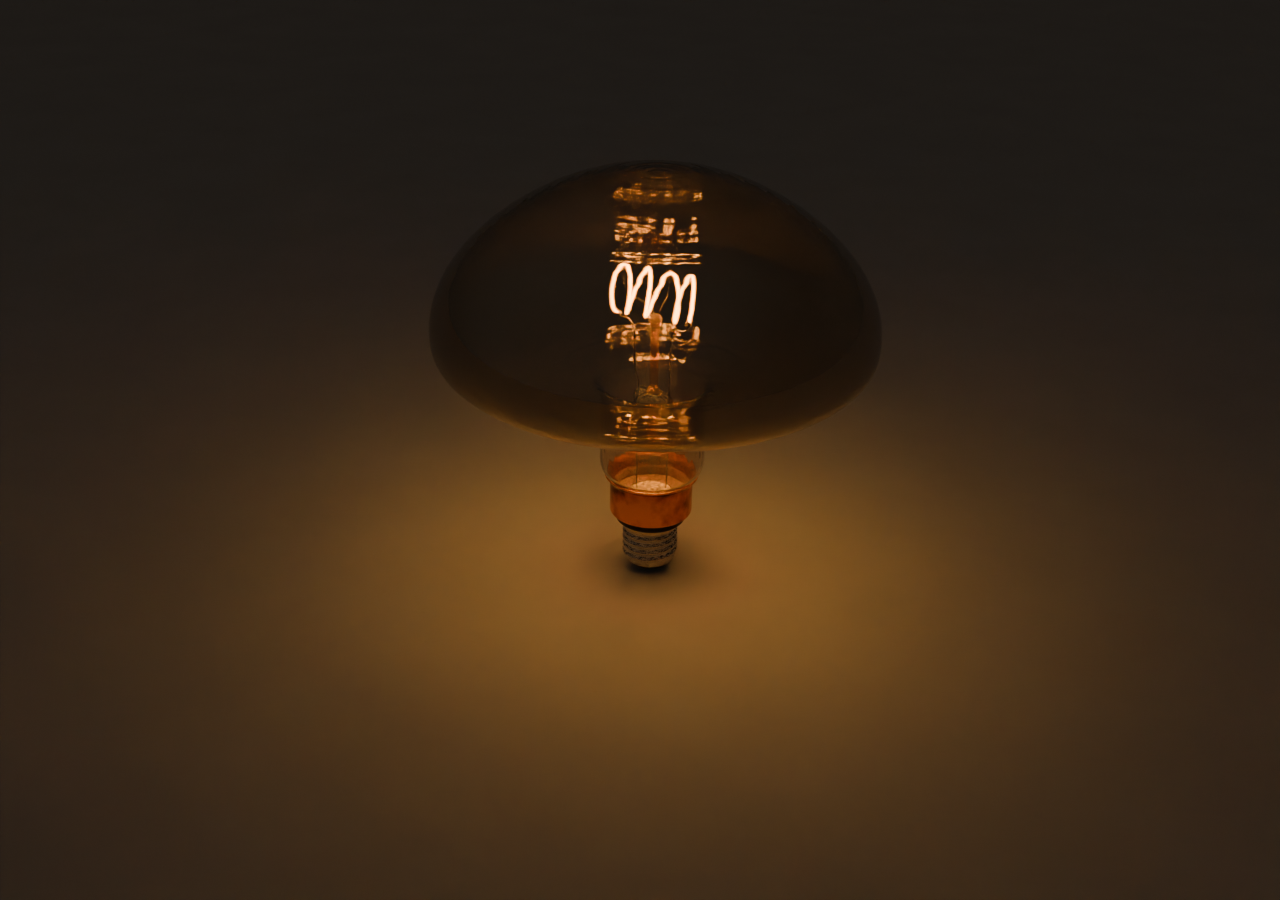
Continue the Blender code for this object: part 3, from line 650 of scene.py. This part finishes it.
def rounded(profile, radius, steps=3, closed=False):
    """A profile with its corners rounded, each by no more than its sides allow."""
    points = [Vector(point) for point in profile]
    count = len(points)
    made = []
    for index, corner in enumerate(points):
        if not closed and index in (0, count - 1):
            made.append(tuple(corner))
            continue
        before = points[index - 1] - corner
        after = points[(index + 1) % count] - corner
        cut = min(radius, before.length * 0.45, after.length * 0.45)
        start = corner + before.normalized() * cut
        end = corner + after.normalized() * cut
        for step in range(steps + 1):
            t = step / steps
            made.append(tuple(start * (1 - t) ** 2 + corner * 2 * t * (1 - t) + end * t ** 2))
    return made


def reaches(points):
    """How far along its line each point lies."""
    made = [0.0]
    for first, second in zip(points, points[1:]):
        made.append(made[-1] + (second - first).length)
    return made


def swept(form, points, radius, sides=12):
    """Adds a round tube along points to a bmesh; radius is a number or a function of share.

    Its UV map counts millimetres along the tube.
    """
    layer = form.loops.layers.uv.verify()
    points = [Vector(point) for point in points]
    reach = reaches(points)
    side = None
    rings = []
    for index, point in enumerate(points):
        ahead = points[min(index + 1, len(points) - 1)] - points[max(index - 1, 0)]
        ahead.normalize()
        if side is None:
            side = ahead.orthogonal().normalized()
        side = (side - ahead * side.dot(ahead)).normalized()
        across = ahead.cross(side)
        size = radius(reach[index] / reach[-1]) if callable(radius) else radius
        rings.append([form.verts.new(point + (side * math.cos(turn) + across * math.sin(turn)) * size)
                      for turn in (2 * math.pi * step / sides for step in range(sides))])
    for index, (first, second) in enumerate(zip(rings, rings[1:])):
        for step in range(sides):
            after = (step + 1) % sides
            face = form.faces.new((first[step], first[after], second[after], second[step]))
            for loop, (row, turn) in zip(face.loops, ((0, step), (0, step + 1),
                                                      (1, step + 1), (1, step))):
                loop[layer].uv = (reach[index + row], turn / sides)
    form.faces.new(list(reversed(rings[0])))
    form.faces.new(rings[-1])


def arc(centre, radius, first, last, steps):
    """Points (radius, height) round a centre, between two angles in degrees."""
    return [(centre[0] + radius * math.cos(math.radians(first + (last - first) * step / steps)),
             centre[1] + radius * math.sin(math.radians(first + (last - first) * step / steps)))
            for step in range(steps + 1)]


def smooth_run(knots, steps):
    """Points on a Catmull-Rom curve through the knots, with a number of steps to a span."""
    knots = [Vector(knot) for knot in knots]
    ends = [knots[0]] + knots + [knots[-1]]
    points = []
    for index in range(len(knots) - 1):
        before, start, end, after = ends[index:index + 4]
        for step in range(steps):
            t = step / steps
            points.append(0.5 * (2 * start + (end - before) * t
                                 + (2 * before - 5 * start + 4 * end - after) * t ** 2
                                 + (3 * start - before - 3 * end + after) * t ** 3))
    points.append(knots[-1])
    return points


def eased(points, passes):
    """Points with their kinks relaxed; the ends stay."""
    points = [Vector(point) for point in points]
    for _ in range(passes):
        points = ([points[0]]
                  + [(before + 2 * point + after) / 4
                     for before, point, after in zip(points, points[1:], points[2:])]
                  + [points[-1]])
    return points


def even(points, spacing):
    """Points along the same line at an even spacing."""
    points = [Vector(point) for point in points]
    reach = reaches(points)
    count = max(2, round(reach[-1] / spacing))
    made, index = [], 0
    for step in range(count + 1):
        target = reach[-1] * step / count
        while index < len(points) - 2 and reach[index + 1] < target:
            index += 1
        share = (target - reach[index]) / max(reach[index + 1] - reach[index], 1e-9)
        made.append(points[index].lerp(points[index + 1], min(share, 1.0)))
    return made


def inset(points, depth):
    """The line that lies a depth inside a profile that runs down the outer side."""
    made = []
    for index, point in enumerate(points):
        along = points[min(index + 1, len(points) - 1)] - points[max(index - 1, 0)]
        along.normalize()
        made.append(point + Vector((along.y, -along.x)) * depth)
    return made


# ---------------------------------------------------------------- glass pieces

def envelope_outline():
    """The envelope's outside, from the crown down to the neck's foot."""
    points = []
    dome_steps = 90
    for step in range(dome_steps + 1):
        angle = math.pi / 2 * (1 - step / dome_steps)
        scale = 1 - DOME_HOLLOW * math.sin(2 * angle) ** 2
        points.append((ENVELOPE_RADIUS * math.cos(angle) * scale,
                       EQUATOR_Z + DOME_HEIGHT * math.sin(angle) * scale))
    fillet_centre = (NECK_RADIUS + THROAT_FILLET, EQUATOR_Z - DISH_DEPTH - THROAT_FILLET)
    last_angle = math.acos((fillet_centre[0] + DISH_RUN_IN) / ENVELOPE_RADIUS)
    dish_steps = 60
    for step in range(1, dish_steps + 1):
        angle = last_angle * step / dish_steps
        scale = 1 + DISH_FULLNESS * math.sin(2 * angle) ** 2
        points.append((ENVELOPE_RADIUS * math.cos(angle) * scale,
                       EQUATOR_Z - DISH_DEPTH * math.sin(angle) * scale))
    points += arc(fillet_centre, THROAT_FILLET, 90.0, 180.0, 16)
    points += [(NECK_RADIUS, LIP_Z + 8.0), (NECK_RADIUS - 0.3, LIP_Z + 5.0),
               (NECK_RADIUS - 1.1, LIP_Z + 2.6), (NECK_RADIUS - 2.4, LIP_Z + 1.0),
               (NECK_RADIUS - 3.9, LIP_Z), (NECK_FOOT_RADIUS + 1.0, LIP_Z - 2.4),
               (NECK_FOOT_RADIUS, LIP_Z - 4.6), (NECK_FOOT_RADIUS, NECK_FOOT_Z)]
    return eased(even(points, 0.9), 6)


def make_envelope(finish):
    outside = envelope_outline()
    inside = inset(outside, GLASS_WALL)
    profile = [(0.0, outside[0].y)] + [tuple(point) for point in outside[1:]]
    profile += [tuple(point) for point in reversed(inside[1:])] + [(0.0, inside[0].y)]

    deeper = inset(outside, 1.0)

    def blown(place, index):
        """Rings left by the blowing and the drawn neck's waviness, on both faces alike."""
        at = min(index, len(profile) - 1 - index)
        radius, level = outside[at]
        turn = math.atan2(place.y, place.x)
        spot = Vector((radius * math.cos(turn), radius * math.sin(turn), level))
        if level > EQUATOR_Z:
            fade = max(0.0, 1.0 - radius / 97.0) ** 0.5 * min(1.0, radius / 6.0)
            depth = CROWN_RIPPLE * fade * (1.5 + math.sin(radius * 0.75 + 3.2)
                                           + 0.5 * math.sin(radius * 1.36 + 5.5)
                                           + 0.8 * noise.noise(spot * 0.05))
        elif radius > 44.0:
            fade = min(1.0, (radius - 44.0) / 8.0, (ENVELOPE_RADIUS - radius) / 12.0)
            depth = DISH_RIPPLE * max(0.0, fade) * (1.0 + math.sin(radius * 0.785 + 1.7))
        else:
            fade = max(0.0, min(1.0, (104.0 - level) / 6.0, (level - 60.0) / 8.0))
            depth = NECK_RIPPLE * fade * (
                1.0 + noise.noise(Vector((spot.x * 0.32, spot.y * 0.32, level * 0.12)))
                + 0.5 * noise.noise(Vector((spot.x * 0.1, spot.y * 0.1, level * 0.5))))
        way = (deeper[at] - outside[at]) * depth
        return place + Vector((way.x * math.cos(turn), way.x * math.sin(turn), way.y))

    form = turned(profile, 192, shape=blown)
    finished("envelope", form, [finish], "smoked_glass", "glass_envelope", sharp=70.0)


def make_stem(finish, thin_finish):
    """The stem tube: a hand-pressed top, uneven and higher on one side."""
    shoulder = STEM_TOP_Z - 4.0
    outside = [(0.0, STEM_TOP_Z), (2.4, STEM_TOP_Z - 0.15), (4.6, STEM_TOP_Z - 0.6),
               (6.8, STEM_TOP_Z - 1.5), (8.4, STEM_TOP_Z - 2.8), (STEM_RADIUS, shoulder - 1.0),
               (STEM_RADIUS, 84.0), (STEM_RADIUS, 76.0), (STEM_RADIUS, 68.0),
               (STEM_RADIUS, 60.0), (STEM_RADIUS, 54.0), (9.8, 49.5), (11.4, 46.2),
               (13.6, 43.6), (STEM_FLARE_RADIUS, NECK_FOOT_Z + 0.4)]
    outside = even(smooth_run(outside, 6), 0.8)
    inside = inset(outside, STEM_WALL)
    profile = [(0.0, outside[0].y)] + [tuple(point) for point in outside[1:]]
    profile += [tuple(point) for point in reversed(inside[1:])] + [(0.0, inside[0].y)]

    def pressed(place, _index):
        share = min(1.0, max(0.0, (place.z - 80.0) / 13.0)) ** 2
        lumps = noise.noise(place * 0.22) * 1.6 + noise.noise(place * 0.55) * 0.8
        sink = share * (1.2 + 0.30 * (place.x + 5.0) + lumps)
        flat = 1.0 - 0.20 * share
        return Vector((place.x, place.y * flat, place.z - max(0.0, sink)))

    zones = [int(level < STEM_TOP_Z - 9.0) for _, level in profile]
    form = turned(profile, 72, zones=zones, shape=pressed)
    finished("stem", form, [finish, thin_finish], "clear_glass", "glass_stem", sharp=60.0)


def make_exhaust_tube(finish):
    """The sealed-off pumping tube inside the stem; only its mouth is modelled hollow."""
    mouth_z = STEM_TOP_Z - 4.6
    profile = [(0.0, mouth_z - 5.0), (1.3, mouth_z - 5.0), (1.3, mouth_z), (1.9, mouth_z),
               (1.9, 46.0), (1.5, 44.2), (0.9, 43.0), (0.0, 42.6)]
    finished("exhaust_tube_glass", turned(rounded(profile, 0.2), 32), [finish],
                    "clear_glass", "exhaust_tube")


def make_rod(finish):
    """The glass rod that carries the support wires, with its melted bead."""
    bead = ROD_TOP_Z - 3.0
    foot = STEM_TOP_Z - 2.8
    profile = smooth_run(
        [(0.0, ROD_TOP_Z), (1.2, ROD_TOP_Z - 0.25), (2.3, bead + 1.6), (3.0, bead + 0.4),
         (2.9, bead - 1.0), (2.3, bead - 2.6), (ROD_RADIUS, bead - 4.2),
         (ROD_RADIUS, bead - 12.0), (ROD_RADIUS, foot + 12.0), (ROD_RADIUS, foot + 4.0),
         (2.4, foot + 1.8), (3.3, foot + 0.2), (3.4, foot)], 5)
    profile = [(max(0.0, point[0]), point[1]) for point in (tuple(knot) for knot in profile)]
    profile[0] = (0.0, ROD_TOP_Z)
    form = turned(profile + [(0.0, foot)], 40)
    finished("support_rod_glass", form, [finish], "clear_glass", "support_rod", sharp=60.0)


# ---------------------------------------------------------------- filament

def coil_axes():
    """The coil's own axis, its sideways and its upward direction."""
    along = Vector((math.cos(COIL_YAW) * math.cos(COIL_DROP),
                    -math.sin(COIL_YAW) * math.cos(COIL_DROP), -math.sin(COIL_DROP)))
    side = Vector((math.sin(COIL_YAW), math.cos(COIL_YAW), 0.0))
    return along, side, along.cross(side)


def coil_point(turn):
    """A point on the coil's centre line; turn counts half turns from the first top."""
    along, side, up = coil_axes()
    angle = (turn + COIL_PHASE) * math.pi
    middle = (COIL_START + COIL_END) / 2
    sway = 0.0
    for index, lean in enumerate(BEND_LEANS):
        distance = abs(turn - (index + LEAN_START))
        if distance < 1.0:
            sway += lean * (1 + math.cos(distance * math.pi)) / 2
    return (COIL_CENTRE + along * (COIL_PITCH * (turn - middle) / 2 + sway)
            + up * (COIL_RADIUS * math.cos(angle)) + side * (COIL_RADIUS * math.sin(angle)))


def make_filament(core_finish, jacket_finish):
    steps = 260
    line = [coil_point(COIL_START + (COIL_END - COIL_START) * step / steps)
            for step in range(steps + 1)]

    def tapered(full):
        return lambda share: full * (1.0 - 0.25 * max(0.0, 1.0 - min(share, 1.0 - share) / 0.006))

    core = bmesh.new()
    swept(core, line, tapered(DIODE_RADIUS), 16)
    finished("filament_diodes", core, [core_finish], "lit_filament")
    jacket = bmesh.new()
    swept(jacket, line, tapered(FILAMENT_RADIUS), 20)
    finished("filament_silicone", jacket, [jacket_finish], "lit_filament", "led_filament")


def crimp(share):
    """A ferrule's radius along its length: pinched past the middle, narrower at its tip."""
    return 1.25 - 0.42 * math.exp(-((share - 0.62) / 0.13) ** 2) - 0.3 * (share > 0.97)


def make_terminals(nickel):
    """A crimped ferrule on each end of the filament, and the lead wire welded to it."""
    steps = 66
    share = (COIL_END - COIL_START) / steps
    ends = {"left": (coil_point(COIL_START), coil_point(COIL_START + share)),
            "right": (coil_point(COIL_END), coil_point(COIL_END - share))}
    for side, (end, inner) in ends.items():
        outward = (end - inner).normalized()
        start, stop = end + outward * 0.1, end + outward * 3.3
        form = bmesh.new()
        swept(form, [start.lerp(stop, step / 24) for step in range(25)], crimp, 20)
        finished("filament_ferrule_" + side, form, [nickel], "nickel_wire",
                 "filament_terminal_" + side)

        sign = -1 if side == "left" else 1
        tip = end + outward * 3.7
        foot_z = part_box("lead_wire_" + side)[0].z / MM
        knots = list(LEAD_RISE[side]) + [tip + Vector(LEAD_HOOK[side]), tip, tip - outward * 1.4]
        route = [Vector((sign * LEAD_X, LEAD_Y, foot_z)), Vector((sign * LEAD_X, LEAD_Y, 60.0)),
                 Vector((sign * LEAD_X, LEAD_Y, 86.0))] + smooth_run(knots, 10)
        wire = bmesh.new()
        swept(wire, route, LEAD_RADIUS * 0.9, 12)
        collar_z = STEM_TOP_Z - 5.0
        swept(wire, [(sign * LEAD_X, LEAD_Y, collar_z), (sign * LEAD_X, LEAD_Y, collar_z + 2.4)],
              LEAD_RADIUS + 0.16, 16)
        finished("lead_" + side, wire, [nickel], "nickel_wire", "lead_wire_" + side)


def make_supports(nickel):
    """Hair wires from the rod's bead, each ending in a hook round a loop's top."""
    hook_radius = FILAMENT_RADIUS + 0.2
    for index in range(3):
        turn = 2.0 * index + 0.25
        top = coil_point(turn)
        ahead = (coil_point(turn + 0.02) - coil_point(turn - 0.02)).normalized()
        across = ahead.cross(Vector((0.0, 0.0, 1.0))).normalized()
        rise = across.cross(ahead).normalized()
        out = Vector((top.x, top.y, 0.0)).normalized()
        start = Vector((0.0, 0.0, ROD_TOP_Z - 0.6)) + out * 0.7
        hook = [top + (across * math.sin(turn) - rise * math.cos(turn)) * hook_radius
                for turn in (math.radians(angle) for angle in range(20, 300, 20))]
        knots = [start, start + out * 2.0 + Vector((0.0, 0.0, 2.2)),
                 Vector((top.x * 0.9, top.y * 0.9, start.z + 8.5)),
                 top - rise * (hook_radius + 1.6)] + hook
        form = bmesh.new()
        swept(form, smooth_run(knots, 5), HAIR_RADIUS, 8)
        finished("support_%d" % (index + 1), form, [nickel], "nickel_wire",
                 "support_wire_%d" % (index + 1))


# ---------------------------------------------------------------- collar and cap

def make_collar(outside_finish, inside_finish):
    flare_height = LIP_Z - COLLAR_STRAIGHT_TOP_Z
    flare_width = LIP_RADIUS - COLLAR_RADIUS
    steps = 12
    flare = [Vector((COLLAR_RADIUS + flare_width * (step / steps) ** 2,
                     COLLAR_STRAIGHT_TOP_Z + flare_height * step / steps))
             for step in range(steps, -1, -1)]
    corner = [Vector(point) for point in
              arc((COLLAR_RADIUS - COLLAR_CORNER, COLLAR_BOTTOM_Z + COLLAR_CORNER),
                  COLLAR_CORNER, 0.0, -90.0, 10)]
    wall = [Vector((COLLAR_RADIUS, COLLAR_STRAIGHT_TOP_Z - drop)) for drop in (4.0, 8.0, 12.0)]
    outside = flare + wall + corner + [Vector((COLLAR_HOLE_RADIUS + 0.2, COLLAR_BOTTOM_Z))]
    inside = list(reversed(inset(outside, COLLAR_WALL)))
    profile = rounded([tuple(point) for point in outside + inside], 0.25, 4, closed=True)
    zones = [int(index >= len(profile) // 2) for index in range(len(profile))]
    form = turned(profile, 144, closed=True, zones=zones)
    finished("collar_copper", form, [outside_finish, inside_finish], "copper_plate",
                    "collar", sharp=60.0)


def make_cement(finish):
    inner = NECK_FOOT_RADIUS + 0.3
    outer = COLLAR_RADIUS - COLLAR_WALL - 0.3
    profile = rounded([(outer, 46.0), (outer, 41.4), (inner, 41.4), (inner, 44.8),
                       (inner + 0.3, 45.4)], 0.3, 3, closed=True)

    def lumpy(place, _index):
        if place.z < 44.0:
            return place
        return place - Vector((0.0, 0.0, 0.5 * abs(noise.noise(place * 0.6))))

    finished("bonding_cement_ring", turned(profile, 160, closed=True, shape=lumpy),
                    [finish], "bonding_cement", "bonding_ring")


def thread_offset(angle, level):
    """How far the pressed thread stands outside the root at an angle and a height."""
    fade = min(1.0, max(0.0, (level - THREAD_BOTTOM_Z) / 1.2),
               max(0.0, (THREAD_TOP_Z - level) / 1.2))
    wave = math.cos(2 * math.pi * level / THREAD_PITCH - angle)
    return fade * (THREAD_CREST_RADIUS - THREAD_ROOT_RADIUS) * (wave + 1) / 2


def make_shell(finish):
    rows = 110
    span = THREAD_TOP_Z - THREAD_BOTTOM_Z
    outside = [(THREAD_CREST_RADIUS, SHELL_TOP_Z), (THREAD_CREST_RADIUS, 25.0),
               (THREAD_CREST_RADIUS, 24.2), (THREAD_CREST_RADIUS - 0.05, 23.7),
               (THREAD_CREST_RADIUS - 0.7, 23.0)]
    outside += [(THREAD_ROOT_RADIUS, THREAD_TOP_Z - span * row / rows) for row in range(rows + 1)]
    outside += [(THREAD_ROOT_RADIUS - 0.04, THREAD_BOTTOM_Z - 0.4),
                (THREAD_ROOT_RADIUS - 0.12, THREAD_BOTTOM_Z - 0.9), (11.75, SHELL_BOTTOM_Z + 0.4),
                (11.6, SHELL_BOTTOM_Z)]
    inside = [(radius - SHELL_WALL, level) for radius, level in reversed(outside)]

    def threaded(place, _index):
        angle = math.atan2(place.y, place.x)
        radius = math.hypot(place.x, place.y)
        moved = radius
        if THREAD_BOTTOM_Z <= place.z <= THREAD_TOP_Z:
            moved += thread_offset(angle, place.z)
        dent = ((angle * 8 / (2 * math.pi)) % 1.0 - 0.5) * 2 * math.pi / 8 * radius
        moved -= 0.35 * math.exp(-(dent ** 2 + (place.z - 25.3) ** 2) / 0.35)
        return Vector((place.x * moved / radius, place.y * moved / radius, place.z))

    form = turned(outside + inside, 144, closed=True, shape=threaded)
    finished("screw_shell_plate", form, [finish], "cap_shell", "screw_shell", sharp=55.0)


def make_insulator(finish):
    profile = rounded([(11.0, 7.3), (11.0, 5.0), (9.6, 3.4), (6.6, 2.2), (5.8, 1.6), (1.4, 1.6),
                       (1.4, 5.2), (8.4, 6.0), (9.4, 7.3)], 0.5, 4, closed=True)
    finished("insulator_glass", turned(profile, 96, closed=True), [finish],
                    "cap_insulator", "cap_insulator")


def make_contact(finish):
    profile = rounded([(0.0, 6.2), (1.1, 6.2), (1.1, 1.3), (4.6, 1.3), (4.6, 0.7), (3.4, 0.0),
                       (0.0, 0.0)], 0.3, 4)
    finished("contact_button", turned(profile, 64), [finish], "contact_metal",
                    "centre_contact")


def make_housing(finish):
    inside = BARREL_RADIUS - 1.0
    spigot = COLLAR_HOLE_RADIUS - 0.3
    top, bottom = COLLAR_BOTTOM_Z - 0.3, SHELL_TOP_Z + 0.3
    profile = rounded(
        [(spigot, HOUSING_TOP_Z), (spigot, top), (FLANGE_RADIUS, top),
         (FLANGE_RADIUS, bottom + 0.8), (FLANGE_RADIUS - 0.8, bottom), (BARREL_RADIUS, bottom),
         (BARREL_RADIUS, BARREL_BOTTOM_Z), (inside, BARREL_BOTTOM_Z), (inside, bottom + 1.0),
         (spigot - 1.0, bottom + 2.4), (spigot - 1.0, HOUSING_TOP_Z)], 0.35, 3, closed=True)
    finished("housing_moulding", turned(profile, 128, closed=True), [finish],
                    "housing_plastic", "driver_housing")


def make_cover(finish):
    inner = PLATE_RADIUS + 0.3
    profile = rounded([(TRAY_RADIUS, COVER_TOP_Z), (TRAY_RADIUS, COVER_Z), (inner, COVER_Z),
                       (inner, COVER_TOP_Z)], 0.25, 3, closed=True)
    finished("tray_cover_moulding", turned(profile, 128, closed=True), [finish],
                    "cover_plastic", "tray_cover")


def make_wire_plate(finish):
    """The pale disc that the leads come up through, with its five holes."""
    profile = rounded([(0.0, PLATE_TOP_Z), (PLATE_RADIUS - 0.5, PLATE_TOP_Z),
                       (PLATE_RADIUS, COVER_TOP_Z), (PLATE_RADIUS, COVER_Z), (0.0, COVER_Z)], 0.3)
    plate = finished("wire_plate_moulding", turned(profile, 96), [finish], "plate_plastic",
                     "wire_plate")
    cutters = bmesh.new()
    for x, y, radius in PLATE_HOLES:
        bmesh.ops.create_cone(cutters, cap_ends=True, segments=24, radius1=radius, radius2=radius,
                              depth=8.0, matrix=Matrix.Translation((x, y, COVER_TOP_Z)))
    holes = placed("holes", mesh_of("holes", cutters))
    cut = plate.modifiers.new("holes", "BOOLEAN")
    cut.operation = "DIFFERENCE"
    cut.solver = "EXACT"
    cut.object = holes
    depsgraph = bpy.context.evaluated_depsgraph_get()
    pierced = bpy.data.meshes.new_from_object(plate.evaluated_get(depsgraph))
    plate.modifiers.clear()
    plate.data = pierced
    pierced.shade_smooth()
    pierced.set_sharp_from_angle(angle=math.radians(SHARP_ANGLE))
    bpy.data.objects.remove(holes)


# ---------------------------------------------------------------- studio

def make_studio():
    made, tree, shader = new_material("studio_floor")
    feed(tree, shader,
         Base_Color=tones(tree, grain(tree, 60.0, 5.0), (0.3, (0.72, 0.70, 0.67)),
                          (0.7, (0.77, 0.75, 0.72))))
    plain(shader, Roughness=0.75)
    form = bmesh.new()
    bmesh.ops.create_grid(form, x_segments=1, y_segments=1, size=FLOOR_REACH)
    mesh = mesh_of("floor", form, 1.0)
    mesh.materials.append(made)
    placed("floor", mesh)

    world = bpy.data.worlds.new("studio")
    world.use_nodes = True
    tree = world.node_tree
    # One wide soft light without an edge: brightest overhead to the left.
    toward = add_node(tree, "VectorMath",
                      {0: add_node(tree, "TexCoord").outputs["Generated"],
                       1: SKY_BRIGHT_WAY}, operation="DOT_PRODUCT")
    lobe = add_node(tree, "MapRange",
                    {"Value": toward.outputs["Value"], "From Min": -0.1, "From Max": 1.0,
                     "To Min": SKY_DIM, "To Max": SKY_BRIGHT},
                    interpolation_type="SMOOTHERSTEP")
    back = tree.nodes["Background"]
    back.inputs["Color"].default_value = SKY_COLOUR
    tree.links.new(lobe.outputs["Result"], back.inputs["Strength"])
    bpy.context.scene.world = world


def make_camera():
    lens = bpy.data.cameras.new("camera")
    lens.lens = CAMERA_LENS
    lens.sensor_width = CAMERA_SENSOR
    lens.clip_start = 0.01
    lens.clip_end = 50.0
    camera = placed("camera", lens)
    level = Matrix.Rotation(math.pi / 2 - CAMERA_TILT, 4, "X")
    roll = Matrix.Rotation(CAMERA_ROLL, 4, "Z")
    camera.matrix_world = Matrix.Translation(CAMERA_PLACE) @ level @ roll
    bpy.context.scene.camera = camera


# ---------------------------------------------------------------- all of it

def main():
    make_camera()
    finishes = {slot_name: make() for slot_name, make in OWN_FINISHES.items()}
    for slot_name, (make, *values) in FAMILY_FINISHES.items():
        finishes[slot_name] = make(slot_name, *values)

    make_envelope(finishes["smoked_glass"])
    drawn_glass = thin_glass()
    make_stem(finishes["clear_glass"], drawn_glass)
    make_exhaust_tube(drawn_glass)
    # Painted glow: the clear rod's glass is tinted amber to stand in for the filament's light carried
    # along it.
    make_rod(clear_glass("rod_glass_painted_glow", (0.90, 0.52, 0.22), (0.95, 0.62, 0.30), 0.994))
    make_filament(finishes["lit_filament"], filament_jacket())
    make_terminals(finishes["nickel_wire"])
    make_supports(finishes["nickel_wire"])
    make_collar(finishes["copper_plate"], copper_inside())
    make_cement(finishes["bonding_cement"])
    make_shell(finishes["cap_shell"])
    make_insulator(finishes["cap_insulator"])
    make_contact(finishes["contact_metal"])
    make_housing(finishes["housing_plastic"])
    make_cover(finishes["cover_plastic"])
    make_wire_plate(finishes["plate_plastic"])

    for row in frame["record"]["subparts"]:
        node = frame["nodes"][row["node"]]
        if not node.hide_render:
            node.material_slots[0].material = finishes[row["material_slot"]]
    make_studio()


main()
